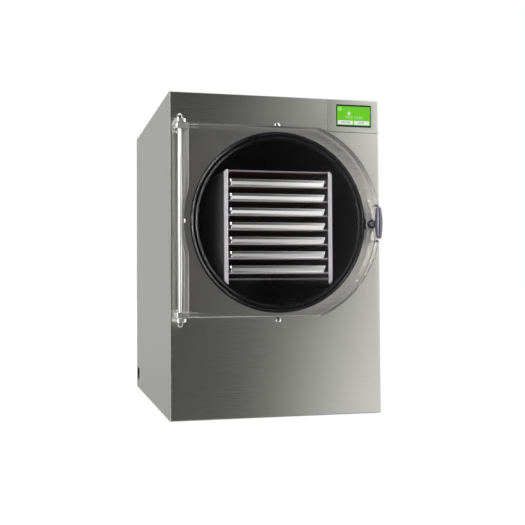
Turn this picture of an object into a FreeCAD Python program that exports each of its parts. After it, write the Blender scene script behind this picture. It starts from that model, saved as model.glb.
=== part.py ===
import FreeCAD, Part
import math
import os
import re

import Sketcher

# Cabinet freeze dryer: a folded stainless cabinet around a horizontal vacuum drum, with a thick
# clear door, a rack of trays and a refrigeration set below. Millimetres, +Z up, front towards -Y,
# origin on the floor under the middle of the whole machine.

SIZES = {
    # cabinet shell
    "cab_width": 616,
    "cab_height": 908,
    "cab_depth": 794,
    "foot_rise": 2,
    "front_face": -366.75,
    "front_skin": 1.5,
    "side_skin": 1.2,
    "fold_depth": 40,
    "bend_radius": 3.5,
    "seam": 0.5,
    "plate_seam": 1,
    "plate_round": 0.8,
    "side_flange": 18,
    "side_foot": 7.5,
    "lid_flange": 16,
    "back_fold": 15,
    "pan_rise": 3.7,
    "pan_wall": 30,
    "pan_end": 777,
    "deck_top": 258,
    "deck_skin": 2,
    "deck_half": 304,
    "deck_lip": 25,
    "deck_start": 60,
    "deck_end": 770,
    # drain opening in the left side panel
    "slot_start": 718,
    "slot_end": 774,
    "slot_low": 24,
    "slot_high": 74,
    "slot_corner": 6,
    # side panel screws
    "screw_first": 95,
    "screw_pitch": 195,
    "screw_rise": 17,
    "screw_head": 5,
    "screw_dome": 1.8,
    "screw_shank": 2,
    "screw_length": 8,
    "hole_play": 0.1,
    # feet
    "foot_x": 250,
    "foot_front": 70,
    "foot_rear": 720,
    "foot_radius": 20,
    "foot_stem": 5,
    "foot_bulb": 7.5,
    "foot_top": 10,
    # control plate and display
    "plate_left": 151.8,
    "plate_low": 812.8,
    "screen_x": 231,
    "screen_z": 860.6,
    "screen_width": 106.6,
    "screen_height": 64.2,
    "bezel": 2.4,
    "bezel_proud": 0.6,
    "bezel_lip": 5,
    "screen_back": 7.5,
    "board_start": 12,
    "board_thick": 1.6,
    "board_width": 120,
    "board_height": 80,
    "board_post": 3,
    "board_post_inset": 4,
    "board_washer": 2.4,
    "relay_left": 12,
    "relay_low": 10,
    "relay_pitch": 24,
    "relay_width": 18,
    "relay_high": 16,
    "relay_depth": 15,
    "plug_left": 14,
    "plug_low": 62,
    "plug_pitch": 34,
    "plug_width": 26,
    "plug_high": 10,
    "plug_depth": 9,
    "capacitor_x": 100,
    "capacitor_z": 30,
    "capacitor_radius": 8,
    "capacitor_depth": 16,
    # drum
    "drum_z": 548.5,
    "drum_bore": 235,
    "drum_wall": 3,
    "drum_lip": 2.4,
    "drum_depth": 640,
    "drum_end": 6,
    "flange_radius": 291,
    "flange_start": 1.8,
    "flange_thick": 4,
    "boss_width": 8,
    "boss_length": 10,
    "panel_hole": 241,
    "bolt_circle": 275,
    "bolt_head": 8.5,
    "bolt_dome": 4.2,
    "bolt_shank": 4,
    "bolt_length": 18,
    "bolt_socket": 2.9,
    # gasket
    "gasket_inner": 229,
    "gasket_outer": 254,
    "gasket_front": 6,
    "gasket_seat": 0.2,
    "gasket_round": 1.9,
    "gasket_web": 1.3,
    "gasket_back": 2.7,
    "gasket_face": 3.5,
    "rib_start": 234,
    "rib_end": 239.2,
    "bead_circle": 248.3,
    "bead_radius": 2.8,
    "tab_reach": 3,
    "tab_height": 30,
    # foam and coil
    "foam_inner": 249,
    "foam_outer": 279,
    "foam_start": 24,
    "foam_end": 690,
    "foam_rear": 650,
    "coil_radius": 243.3,
    "coil_tube": 4.5,
    "coil_pitch": 50,
    "coil_start": 60,
    "coil_turns": 11,
    "coil_bend": 10,
    "coil_gap": 30,
    "coil_overrun": 1.5,
    "saddle_front": 140,
    "saddle_rear": 535,
    "saddle_thick": 4,
    "saddle_half": 215,
    "saddle_top": 370,
    # ports
    "port_x": -110,
    "port_z": 440,
    "port_radius": 12.7,
    "port_wall": 1.8,
    "port_end": 816.25,
    "collar_radius": 19,
    "collar_thick": 3,
    "drain_radius": 6,
    "drain_wall": 1,
    "drain_y": 585,
    "drain_x": -235,
    "drain_exit": -301,
    "drain_bend": 20,
    "lead_x": 90,
    "lead_z": 640,
    "lead_radius": 15,
    "lead_rim": 20,
    "lead_rim_thick": 3,
    "lead_pin_circle": 9,
    "lead_pin_radius": 1.2,
    "lead_pin_length": 10,
    # rack
    "rack_half": 157.8,
    "rack_inner": 146.2,
    "rack_sheet": 1.2,
    "rack_front": 5,
    "rack_length": 620,
    "rack_low": 375.4,
    "rack_high": 694.5,
    "rack_chamfer": 7,
    "rack_hem": 1.5,
    "rack_play": 0.3,
    "shelf_first": 407.5,
    "shelf_pitch": 40.4,
    "shelf_lip": 3.4,
    "lip_lean": 30,
    "shelf_end": 620,
    "tie_z": 390.5,
    "tie_depth": 34,
    "mat_half": 132,
    "mat_start": 22,
    "mat_end": 600,
    "mat_thick": 2,
    # trays
    "tray_width": 286,
    "tray_length": 610,
    "tray_height": 19,
    "tray_start": 8,
    "tray_wall": 0.8,
    "tray_corner": 5,
    "tray_flare": 4.2,
    "tray_knee": 12,
    "tray_rim": 1.9,
    "tray_roll": 2.6,
    # door
    "door_gap": 6.3,
    "door_thick": 50,
    "door_left": -266,
    "door_half": 263.5,
    "disc_radius": 283.5,
    "disc_x": 4,
    "door_bevel": 1.2,
    # hinge
    "hinge_x": -287,
    "hinge_out": 44,
    "rod_radius": 6.35,
    "rod_half": 273.5,
    "neck_radius": 4,
    "neck_half": 286,
    "bore_play": 0.05,
    "arm_gap": 1.2,
    "arm_left": -299,
    "arm_right": -271,
    "arm_front": 57,
    "arm_base": 4,
    "arm_root": 22,
    "arm_round": 8,
    "arm_screw_head": 3.6,
    "arm_screw_cap": 2,
    "arm_screw_socket": 1.2,
    "arm_screw_length": 12,
    "block_left": -299,
    "block_front": 56,
    "block_back": 26,
    "block_high": 16,
    "block_round": 5,
    "block_bevel": 0.8,
    "block_gap": 0.1,
    "block_screw_out": 31.5,
    "block_screw_gap": 8,
    "block_screw_head": 3.5,
    "block_screw_cap": 2.5,
    "block_screw_end": -236,
    "block_screw_socket": 1.5,
    "washer_radius": 15,
    "washer_top": 8,
    "washer_thick": 4.5,
    "washer_edge": 1,
    "nut_flats": 13,
    "nut_height": 6,
    "nut_dome": 6,
    # latch
    "latch_x": 275,
    "latch_z": 545.7,
    "shaft_radius": 4,
    "shaft_front": 68,
    "bar_start": 4,
    "bar_thick": 4,
    "bar_width": 4,
    "bar_length": 18.6,
    "bar_round": 1.4,
    "bushing_radius": 6.55,
    "bushing_flange": 10,
    "bushing_rim": 1.5,
    "bushing_end": 7,
    "grip_out": 72,
    "grip_radius": 10.75,
    "grip_tip": 6.6,
    "grip_half": 44,
    "grip_round": 2.5,
    "boss_radius": 8,
    "boss_back": 59,
    "boss_press": 0.02,
    "receiver_flange": 12.5,
    "receiver_proud": 4.6,
    "receiver_body": 11.6,
    "receiver_end": 16,
    "receiver_bore": 9.9,
    "receiver_wall": 2.6,
    "keyway_width": 6.8,
    "keyway_length": 19.2,
    "keyway_round": 5.4,
    "pin_rise": 50.2,
    "pin_radius": 2.5,
    "pin_head": 3.8,
    "pin_cap": 2.4,
    "pin_end": 12,
    # refrigeration set
    "comp_x": -130,
    "comp_y": 230,
    "comp_radius": 88,
    "comp_low": 14,
    "comp_high": 205,
    "comp_round": 36,
    "comp_plate": 3,
    "comp_foot": 100,
    "comp_inset": 14,
    "comp_rise": 16,
    "comp_weld": 2,
    "comp_port_right": 30,
    "comp_port_left": -35,
    "machine_gap": 0.3,
    "cond_half": 150,
    "cond_start": 731,
    "cond_thick": 40,
    "cond_low": 42,
    "cond_high": 230,
    "cond_leg": 2,
    "cond_port": 90,
    "fin_pitch": 6,
    "fin_slot": 4.4,
    "fin_rows": 5,
    "pipe_drop": 14,
    "pipe_bend": 11,
    "drain_drop": 32,
    "fin_columns": 48,
    "fan_z": 136,
    "fan_radius": 84,
    "fan_start": 690,
    "fan_thick": 26,
    "hub_radius": 22,
    "blade_count": 5,
    "blade_thick": 2,
    "blade_pitch": 32,
    "shroud_start": 700,
    "shroud_end": 729,
    "shroud_hole": 89,
    "strut_y": 668,
    "strut_thick": 3,
    "strut_high": 16,
    "strut_x": 120,
    "motor_radius": 34,
    "motor_start": 620,
    "motor_edge": 6,
    "shroud_foot": 20,
    # back panel openings
    "vent_low": 60,
    "vent_pitch": 12,
    "vent_high": 4,
    "vent_rows": 15,
    "vent_inner": 8,
    "vent_outer": 132,
    "mains_x": 215,
    "switch_z": 430,
    "inlet_z": 365,
    "outlet_z": 290,
    "inlet_width": 46,
    "inlet_height": 28,
    "inlet_body": 24,
    "outlet_size": 36,
    "well_half_width": 15,
    "well_half_height": 9,
    "well_floor": 5,
    "pin_spread": 9,
    "pin_offset": 3,
    "pin_half": 1,
    "pin_length": 12,
    "socket_spread": 6,
    "socket_half": 1.2,
    "socket_high": 8,
    "earth_half": 1.8,
    "earth_low": 10,
    "earth_high": 5,
    "switch_width": 21,
    "switch_height": 29,
    "mains_rim": 3,
    "mains_proud": 2.5,
    "mains_round": 2,
    "rocker_axis": 6,
    "rocker_width": 16.2,
    "rocker_half": 10.8,
    "rocker_crest": 7.8,
    "rocker_rest": 8,
    "rocker_pin": 1.5,
}

SHELVES = 7
ORIGIN = FreeCAD.Vector()
UP = FreeCAD.Vector(0, 0, 1)
BACKWARD = FreeCAD.Vector(0, 1, 0)

os.makedirs("parts", exist_ok=True)
doc = FreeCAD.newDocument("freeze_dryer")
sheet = doc.addObject("Spreadsheet::Sheet", "Dims")
for row, (alias, number) in enumerate(SIZES.items(), start=1):
    sheet.set(f"A{row}", alias)
    sheet.set(f"B{row}", str(number))
    sheet.setAlias(f"B{row}", alias)
doc.recompute()

pieces = []


def formula(text):
    """The same formula with every size read from the sheet."""
    return re.sub(r"[a-z]\w*", lambda word: "Dims." + word[0] if word[0] in SIZES else word[0], str(text))


def value(text):
    return float(sheet.evalExpression(formula(text)))


def bind(thing, path, text):
    thing.setExpression(path, formula(text))


def point(x, y, z="0"):
    return FreeCAD.Vector(value(x), value(y), value(z))


def keep(thing, label):
    """Names a finished piece; its label becomes its file's name."""
    thing.Label = label
    pieces.append(thing)
    return thing


# ---- sketches and features of a body -----------------------------------------------------------


def new_body(name, x="0", y="0", z="0"):
    body = doc.addObject("PartDesign::Body", name)
    for axis, text in (("x", x), ("y", y), ("z", z)):
        bind(body, f"Placement.Base.{axis}", text)
    return body


def new_sketch(body, role, at="0"):
    """A sketch on the body's own XY, XZ or YZ plane, moved to where `at` says along its axis."""
    sketch = body.newObject("Sketcher::SketchObject", body.Name + "_sketch")
    plane = next(item for item in body.Origin.OriginFeatures if item.Role == role)
    sketch.AttachmentSupport = [(plane, "")]
    sketch.MapMode = "FlatFace"
    bind(sketch, "AttachmentOffset.Base.z", f"-({at})" if role == "XZ_Plane" else at)
    return sketch


def place_vertex(sketch, index, position, x, y):
    for kind, text in (("DistanceX", x), ("DistanceY", y)):
        rule = sketch.addConstraint(Sketcher.Constraint(kind, -1, 1, index, position, value(text)))
        bind(sketch, f"Constraints[{rule}]", text)


def join(sketch, one, one_end, two, two_end):
    sketch.addConstraint(Sketcher.Constraint("Coincident", one, one_end, two, two_end))


def draw_line(sketch, start, end):
    return sketch.addGeometry(Part.LineSegment(start, end))


def draw_outline(sketch, corners):
    """A closed outline of straight lines through the corners."""
    first = sketch.GeometryCount
    ends = [point(x, y) for x, y in corners]
    count = len(corners)
    for step in range(count):
        draw_line(sketch, ends[step], ends[(step + 1) % count])
    for step, (x, y) in enumerate(corners):
        join(sketch, first + step, 2, first + (step + 1) % count, 1)
        place_vertex(sketch, first + step, 1, x, y)
    return sketch


def draw_box(sketch, left, right, low, high):
    return draw_outline(sketch, [(left, low), (right, low), (right, high), (left, high)])


def draw_circle(sketch, x, y, radius):
    index = sketch.addGeometry(Part.Circle(point(x, y), UP, value(radius)))
    place_vertex(sketch, index, 3, x, y)
    rule = sketch.addConstraint(Sketcher.Constraint("Radius", index, value(radius)))
    bind(sketch, f"Constraints[{rule}]", radius)
    return sketch


def faces_back(sketch):
    return sketch.AttachmentSupport[0][0].Role == "XZ_Plane"


def pad(body, sketch, length):
    """Adds material from the sketch towards + along its axis."""
    feature = body.newObject("PartDesign::Pad", body.Name + "_pad")
    feature.Profile = sketch
    bind(feature, "Length", length)
    feature.Reversed = faces_back(sketch)
    doc.recompute()
    return feature


def pocket(body, sketch, length):
    """Removes material from the sketch towards + along its axis."""
    before = body.Shape.Volume
    feature = body.newObject("PartDesign::Pocket", body.Name + "_pocket")
    feature.Profile = sketch
    bind(feature, "Length", length)
    feature.Reversed = not faces_back(sketch)
    doc.recompute()
    if body.Shape.Volume >= before:
        raise RuntimeError(f"{body.Name}: a pocket cut nothing")
    return feature


def revolve(body, sketch):
    """Turns the sketch about its own vertical axis."""
    feature = body.newObject("PartDesign::Revolution", body.Name + "_turn")
    feature.Profile = sketch
    feature.ReferenceAxis = (sketch, ["V_Axis"])
    feature.Angle = 360
    doc.recompute()
    return feature


def hexagon(reach):
    """The corners of a hexagon about the origin, `reach` from it."""
    turns = [math.radians(turn) for turn in range(0, 360, 60)]
    return [(f"({reach}) * {math.cos(turn):.6f}", f"({reach}) * {math.sin(turn):.6f}") for turn in turns]


def dress(body, kind, size, chosen):
    """Fillets or chamfers the edges that `chosen` picks, by their middle point and bounding box."""
    base = body.Tip
    names = []
    for number, edge in enumerate(base.Shape.Edges, start=1):
        if chosen(edge.CenterOfMass, edge.BoundBox):
            names.append(f"Edge{number}")
    feature = body.newObject("PartDesign::" + kind, body.Name + "_" + kind.lower())
    feature.Base = (base, names)
    bind(feature, "Radius" if kind == "Fillet" else "Size", size)
    doc.recompute()
    return feature


def pattern(body, feature, direction, length, count):
    """Repeats a feature along a sketch direction."""
    repeat = body.newObject("PartDesign::LinearPattern", body.Name + "_row")
    repeat.Originals = [feature]
    repeat.Direction = (feature.Profile[0], [direction])
    bind(repeat, "Length", length)
    bind(repeat, "Occurrences", count)
    body.Tip = repeat
    doc.recompute()
    return repeat


# ---- Part shapes --------------------------------------------------------------------------------


def new_box(name, low, high):
    """A Part box between two corners, each given as three formulas."""
    box = doc.addObject("Part::Box", name)
    for side, axis, start, end in zip(("Length", "Width", "Height"), "xyz", low, high):
        bind(box, side, f"({end}) - ({start})")
        bind(box, f"Placement.Base.{axis}", start)
    return box


def new_rod(name, centre, radius, length, along="z"):
    """A Part cylinder that starts at `centre` and runs towards + along an axis."""
    rod = doc.addObject("Part::Cylinder", name)
    bind(rod, "Radius", radius)
    bind(rod, "Height", length)
    turns = {"x": ((0, 1, 0), 90), "y": ((1, 0, 0), -90), "z": ((0, 0, 1), 0)}
    axis, angle = turns[along]
    rod.Placement.Rotation = FreeCAD.Rotation(FreeCAD.Vector(*axis), angle)
    for name_of, text in zip("xyz", centre):
        bind(rod, f"Placement.Base.{name_of}", text)
    return rod


def fuse(name, shapes):
    joined = doc.addObject("Part::MultiFuse", name)
    joined.Shapes = shapes
    joined.Refine = True
    return joined


def cut(name, base, tool):
    result = doc.addObject("Part::Cut", name)
    result.Base = base
    result.Tool = tool
    return result


def fixed(label, shape, place=None):
    """A piece whose shape is computed from the sheet's sizes."""
    feature = doc.addObject("Part::Feature", label)
    feature.Shape = shape
    feature.Placement = place or FreeCAD.Placement()
    return keep(feature, label)


def group(label, source, places):
    """Several copies of one piece in one node, as separate solids."""
    doc.recompute()
    copies = []
    for place in places:
        copy = source.Shape.copy()
        copy.Placement = place.multiply(copy.Placement)
        copies.append(copy)
    return fixed(label, Part.makeCompound(copies))


def shift(x, y, z, axis=(0, 0, 1), angle=0):
    return FreeCAD.Placement(point(x, y, z), FreeCAD.Rotation(FreeCAD.Vector(*axis), angle))


def bent_rod(points, radius, bend):
    """A round rod along straight runs that are joined by tangent arcs of one radius."""
    pieces = []
    start = points[0]
    for before, corner, after in zip(points, points[1:], points[2:]):
        into = (corner - before).normalize()
        out = (after - corner).normalize()
        turn = into.getAngle(out)
        back = bend * math.tan(turn / 2)
        first = corner - into * back
        centre = corner + (out - into).normalize() * (bend / math.cos(turn / 2))
        outward = (first - centre).normalize()
        arc = Part.makeTorus(bend, radius, ORIGIN, UP, 0, 360, math.degrees(turn))
        arc.Placement = FreeCAD.Placement(centre, FreeCAD.Rotation(outward, into, outward.cross(into)))
        pieces.append(Part.makeCylinder(radius, (first - start).Length, start, into))
        pieces.append(arc)
        start = corner + out * back
    pieces.append(Part.makeCylinder(radius, (points[-1] - start).Length, start, points[-1] - start))
    return pieces[0].multiFuse(pieces[1:])


def tube(points, radius, bend, wall=None):
    """A bent tube, hollow where a wall is given."""
    body = bent_rod(points, radius, bend)
    if wall:
        body = body.cut(bent_rod(points, radius - wall, bend))
    return body


# ---- cabinet ------------------------------------------------------------------------------------

HALF = "cab_width / 2"
SKIN_BACK = "front_face + front_skin"


def folded_box(body, left, right, low, high, start, end, skin, inside):
    """A folded tray: a box with a smaller box taken out, open where `inside` reaches past it."""
    pad(body, draw_box(new_sketch(body, "XZ_Plane", start), left, right, low, high), f"({end}) - ({start})")
    in_left, in_right, in_low, in_high = inside
    hollow = new_sketch(body, "XZ_Plane", f"({start}) + ({skin})")
    pocket(body, draw_box(hollow, in_left, in_right, in_low, in_high), f"({end}) - ({start})")


def make_front_panel():
    body = new_body("front_panel")
    reach = f"{HALF} - front_skin"
    inside = (f"-({reach})", reach, "foot_rise + front_skin", "cab_height - front_skin")
    rear = "front_face + fold_depth"
    folded_box(
        body, f"-{HALF}", HALF, "foot_rise", "cab_height", "front_face", rear, "front_skin", inside
    )
    front = value("front_face")
    dress(body, "Fillet", "bend_radius", lambda middle, box: abs(middle.y - front) < 0.01)
    through = "fold_depth + 2"
    ahead = "front_face - 1"
    mouth = new_sketch(body, "XZ_Plane", ahead)
    pocket(body, draw_circle(mouth, "0", "drum_z", "panel_hole"), through)
    corner = new_sketch(body, "XZ_Plane", ahead)
    draw_box(corner, "plate_left - plate_seam", f"{HALF} + 1", "plate_low - plate_seam", "cab_height + 1")
    pocket(body, corner, through)
    holes = new_sketch(body, "XZ_Plane", ahead)
    for x, z in (("0", "drum_z + bolt_circle"), ("0", "drum_z - bolt_circle"), ("-bolt_circle", "drum_z")):
        draw_circle(holes, x, z, "bolt_shank + 0.5")
    draw_circle(holes, "latch_x", "latch_z", "receiver_body + 0.3")
    for z in BRACKET_SCREW_Z:
        draw_circle(holes, "hinge_x", z, "screw_shank + hole_play")
    pocket(body, holes, through)
    keep(body, "front_panel")


def make_control_plate():
    body = new_body("control_plate")
    inside = ("plate_left - 1", f"{HALF} - front_skin", "plate_low - 1", "cab_height - front_skin")
    rear = "front_face + fold_depth"
    folded_box(
        body, "plate_left", HALF, "plate_low", "cab_height", "front_face", rear, "front_skin", inside
    )
    front = value("front_face")
    left = value("plate_left")
    low = value("plate_low")

    def is_inner_edge(middle, box):
        return middle.x < left + 0.1 or middle.z < low + 0.1

    dress(
        body, "Fillet", "bend_radius",
        lambda middle, box: abs(middle.y - front) < 0.01 and not is_inner_edge(middle, box),
    )
    dress(
        body, "Fillet", "plate_round",
        lambda middle, box: box.YMin < front + 0.01 and box.YLength < 0.01 and is_inner_edge(middle, box),
    )
    window = new_sketch(body, "XZ_Plane", "front_face - 1")
    draw_box(window, *screen_box("0.2"))
    pocket(body, window, "front_skin + 2")
    keep(body, "control_plate")


def screen_box(grow):
    """The display window's four sides, moved out by `grow`."""
    return (
        f"screen_x - screen_width / 2 - {grow}",
        f"screen_x + screen_width / 2 + {grow}",
        f"screen_z - screen_height / 2 - {grow}",
        f"screen_z + screen_height / 2 + {grow}",
    )


def make_display():
    body = new_body("display_frame")
    outer = new_sketch(body, "XZ_Plane", "front_face - bezel_proud")
    pad(body, draw_box(outer, *screen_box("0")), "screen_back + bezel_proud")
    dress(
        body, "Fillet", "bezel_proud / 2",
        lambda middle, box: abs(middle.y - value("front_face - bezel_proud")) < 0.01,
    )
    lip = new_sketch(body, "XZ_Plane", "front_face + front_skin + 0.2")
    pad(body, draw_box(lip, *screen_box("bezel_lip")), "2")
    hole = new_sketch(body, "XZ_Plane", "front_face - bezel_proud - 1")
    pocket(body, draw_box(hole, *screen_box("(-bezel)")), "screen_back + 4")
    keep(body, "display_frame")

    glass = new_body("display_screen")
    face = new_sketch(glass, "XZ_Plane", "front_face")
    pad(glass, draw_box(face, *screen_box("(-bezel - hole_play)")), "screen_back")
    keep(glass, "display_screen")


def make_control_board():
    left = "screen_x - board_width / 2"
    low = "screen_z - board_height / 2"
    front = "front_face + board_start"
    rear = f"{front} + board_thick"

    def on_board(name, x, z, width, height, depth):
        """A block on the board's back, placed from the board's lower left corner."""
        far = (f"{left} + {x} + {width}", f"{rear} + {depth}", f"{low} + {z} + {height}")
        return new_box(name, (f"{left} + {x}", rear, f"{low} + {z}"), far)

    plate = new_box(
        "board_plate", (left, front, low), (f"{left} + board_width", rear, f"{low} + board_height")
    )
    relay_size = ("relay_width", "relay_high", "relay_depth")
    plug_size = ("plug_width", "plug_high", "plug_depth")
    blocks = []
    for number in range(3):
        relay_x = f"relay_left + {number} * relay_pitch"
        plug_x = f"plug_left + {number} * plug_pitch"
        blocks.append(on_board(f"board_relay_{number}", relay_x, "relay_low", *relay_size))
        blocks.append(on_board(f"board_plug_{number}", plug_x, "plug_low", *plug_size))
    capacitor_place = (f"{left} + capacitor_x", rear, f"{low} + capacitor_z")
    capacitor = new_rod("board_capacitor", capacitor_place, "capacitor_radius", "capacitor_depth", "y")
    post_length = "board_start - front_skin - board_washer"
    posts = [
        new_rod(f"board_post_{x}_{z}", (x, SKIN_BACK + " + board_washer", z), "board_post", post_length, "y")
        for x in (f"{left} + board_post_inset", f"{left} + board_width - board_post_inset")
        for z in (f"{low} + board_post_inset", f"{low} + board_height - board_post_inset")
    ]
    keep(fuse("control_board", [plate, capacitor] + blocks + posts), "control_board")


def channel(body, side):
    """A side panel's section: the face with a flange turned in at the top and a short one at the bottom."""
    outer = f"{side} * ({HALF})"
    face = f"{side} * ({HALF} - side_skin)"
    edge = f"{side} * ({HALF} - side_flange)"
    foot = f"{side} * ({HALF} - side_foot)"
    top = "cab_height - front_skin - 0.3"
    section = new_sketch(body, "XZ_Plane", "front_face + fold_depth + seam")
    draw_outline(section, [
        (outer, "foot_rise"), (foot, "foot_rise"),
        (foot, "foot_rise + side_skin"), (face, "foot_rise + side_skin"),
        (face, f"{top} - side_skin"), (edge, f"{top} - side_skin"), (edge, top), (outer, top),
    ])
    pad(body, section, "cab_depth - fold_depth - seam")


def make_side_panels():
    for label, side in (("side_panel_left", -1), ("side_panel_right", 1)):
        body = new_body(label)
        channel(body, side)
        outside = f"-{HALF} - 1" if side < 0 else f"{HALF} - side_flange + 2"
        holes = new_sketch(body, "YZ_Plane", outside)
        for y in SCREW_Y:
            draw_circle(holes, y, "screw_rise", "screw_shank + hole_play")
        pocket(body, holes, "side_flange - 1" if side > 0 else "side_skin + 2")
        if side < 0:
            slot = new_sketch(body, "YZ_Plane", outside)
            draw_box(slot, "front_face + slot_start", "front_face + slot_end", "slot_low", "slot_high")
            pocket(body, slot, "side_skin + 2")
            dress(body, "Fillet", "slot_corner", is_slot_corner)
        keep(body, label)


def is_slot_corner(middle, box):
    """The slot's four short edges, which run through the sheet."""
    ends = (value("front_face + slot_start"), value("front_face + slot_end"))
    return box.XLength > 1 and min(abs(middle.y - end) for end in ends) < 0.01 and box.YLength < 0.01


def make_top_panel():
    body = new_body("top_panel")
    start = "front_face + fold_depth + seam"
    top = new_sketch(body, "XY_Plane", "cab_height - front_skin")
    pad(body, draw_box(top, f"-{HALF}", HALF, start, "front_face + cab_depth"), "front_skin")
    flanges = new_sketch(body, "XY_Plane", "cab_height - front_skin - lid_flange")
    reach = f"{HALF} - side_flange - 2"
    for near in (start, "front_face + cab_depth - back_fold - 4"):
        draw_box(flanges, f"-({reach})", reach, near, f"{near} + side_skin")
    pad(body, flanges, "lid_flange + front_skin / 2")
    keep(body, "top_panel")


def make_back_panel():
    body = new_body("back_panel")
    inner = f"{HALF} - side_skin - 0.4"
    low = "pan_rise + 0.3"
    high = "cab_height - front_skin - side_skin - 0.8"
    start = "front_face + cab_depth - back_fold"
    end = "front_face + cab_depth"
    frame = new_sketch(body, "XZ_Plane", start)
    pad(body, draw_box(frame, f"-({inner})", inner, low, high), "back_fold")
    hollow = new_sketch(body, "XZ_Plane", f"{start} - 1")
    reach = f"{inner} - side_skin"
    draw_box(hollow, f"-({reach})", reach, f"{low} + side_skin", f"{high} - side_skin")
    pocket(body, hollow, "back_fold + 1 - side_skin")
    openings = new_sketch(body, "XZ_Plane", f"{end} - side_skin - 1")
    draw_circle(openings, "port_x", "port_z", "port_radius + 1")
    for z, width, height in MAINS_HOLES:
        draw_box(
            openings, f"mains_x - ({width}) / 2", f"mains_x + ({width}) / 2",
            f"{z} - ({height}) / 2", f"{z} + ({height}) / 2",
        )
    pocket(body, openings, "side_skin + 2")
    vents = new_sketch(body, "XZ_Plane", f"{end} - side_skin - 1")
    for left, right in (("-vent_outer", "-vent_inner"), ("vent_inner", "vent_outer")):
        draw_box(vents, left, right, "vent_low", "vent_low + vent_high")
    slots = pocket(body, vents, "side_skin + 2")
    pattern(body, slots, "V_Axis", "vent_pitch * (vent_rows - 1)", "vent_rows")
    keep(body, "back_panel")


def make_base_pan():
    body = new_body("base_pan")
    half = f"{HALF} - side_skin - 0.4"
    start = "front_face + front_skin + 0.5"
    end = "front_face + pan_end"
    floor = new_sketch(body, "XY_Plane", "pan_rise")
    pad(body, draw_box(floor, f"-({half})", half, start, end), "pan_wall")
    inside = new_sketch(body, "XY_Plane", "pan_rise + front_skin")
    reach = f"{half} - front_skin"
    draw_box(inside, f"-({reach})", reach, f"{start} + front_skin", f"{end} - front_skin")
    pocket(body, inside, "pan_wall")
    stems = new_sketch(body, "XY_Plane", "pan_rise - 1")
    for x, y in FOOT_PLACES:
        draw_circle(stems, x, y, "foot_stem + hole_play")
    pocket(body, stems, "front_skin + 2")
    screws = new_sketch(body, "YZ_Plane", f"-{HALF}")
    for y in SCREW_Y:
        draw_circle(screws, y, "screw_rise", "screw_shank + hole_play")
    pocket(body, screws, "cab_width")
    keep(body, "base_pan")


def make_deck():
    body = new_body("chamber_deck")
    section = new_sketch(body, "XZ_Plane", "front_face + deck_start")
    low = "deck_top - deck_lip"
    under = "deck_top - deck_skin"
    draw_outline(section, [
        ("-deck_half", low), ("-deck_half + deck_skin", low), ("-deck_half + deck_skin", under),
        ("deck_half - deck_skin", under), ("deck_half - deck_skin", low), ("deck_half", low),
        ("deck_half", "deck_top"), ("-deck_half", "deck_top"),
    ])
    pad(body, section, "deck_end - deck_start")
    holes = new_sketch(body, "XY_Plane", "deck_top - deck_skin - 1")
    for y in (COIL_START_Y, COIL_END_Y):
        draw_circle(holes, "0", y, "coil_tube + 3")
    draw_circle(holes, "0", "front_face + drain_y", "drain_radius + 3")
    pocket(body, holes, "deck_skin + 2")
    keep(body, "chamber_deck")


def make_feet():
    body = new_body("foot_pattern")
    rim = "pan_rise - hole_play"
    grip = "pan_rise + front_skin + hole_play"
    profile = new_sketch(body, "XZ_Plane")
    draw_outline(profile, [
        ("0", "0"), ("foot_radius - 1", "0"), ("foot_radius", "1"), ("foot_radius", rim),
        ("foot_stem", rim), ("foot_stem", grip), ("foot_bulb", grip), ("foot_stem", "foot_top"),
        ("0", "foot_top"),
    ])
    revolve(body, profile)
    group("rubber_feet", body, [shift(x, y, "0") for x, y in FOOT_PLACES])


def screw_body(name, head, dome, shank, length, socket=None):
    """A dome-headed screw that points towards -Z, its head's seat at Z = 0."""
    body = new_body(name)
    profile = new_sketch(body, "XZ_Plane")
    draw_outline(profile, [
        ("0", f"-({length})"), (f"{shank} - 0.4", f"-({length})"), (shank, f"-({length}) + 0.4"),
        (shank, "0"), (head, "0"), (head, f"({dome}) * 0.35"), (f"({head}) * 0.86", f"({dome}) * 0.72"),
        (f"({head}) * 0.55", dome), ("0", dome),
    ])
    revolve(body, profile)
    if socket:
        key = new_sketch(body, "XY_Plane", f"({dome}) * 0.35")
        pocket(body, draw_outline(key, hexagon(socket)), dome)
    return body


SCREW_Y = [f"front_face + screw_first + {step} * screw_pitch" for step in range(4)]
FOOT_PLACES = [
    (x, y) for x in ("-foot_x", "foot_x") for y in ("front_face + foot_front", "front_face + foot_rear")
]
COIL_START_Y = "front_face + coil_start"
COIL_END_Y = "front_face + coil_start + coil_pitch * coil_turns"
ARM_NEAR = "door_half + arm_gap"
BRACKET_SCREW_Z = [f"drum_z + {side} * (door_half - {drop})" for side in (-1, 1) for drop in (6, 18)]
MAINS_HOLES = [
    ("switch_z", "switch_width + 0.4", "switch_height + 0.4"),
    ("inlet_z", "inlet_width - 2 * mains_rim + 0.4", "inlet_height - 2 * mains_rim + 0.4"),
    ("outlet_z", "outlet_size - 2 * mains_rim + 0.4", "outlet_size - 2 * mains_rim + 0.4"),
]


def make_cabinet_screws():
    screw = screw_body("panel_screw", "screw_head", "screw_dome", "screw_shank", "screw_length")
    left = [shift(f"-{HALF}", y, "screw_rise", (0, 1, 0), -90) for y in SCREW_Y]
    right = [shift(HALF, y, "screw_rise", (0, 1, 0), 90) for y in SCREW_Y]
    group("cabinet_screws", screw, left + right)


# ---- vacuum chamber -----------------------------------------------------------------------------


def drum_body(name):
    """A body whose own Y axis is the drum's axis, with Y = 0 on the cabinet's front face."""
    return new_body(name, y="front_face", z="drum_z")


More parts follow.
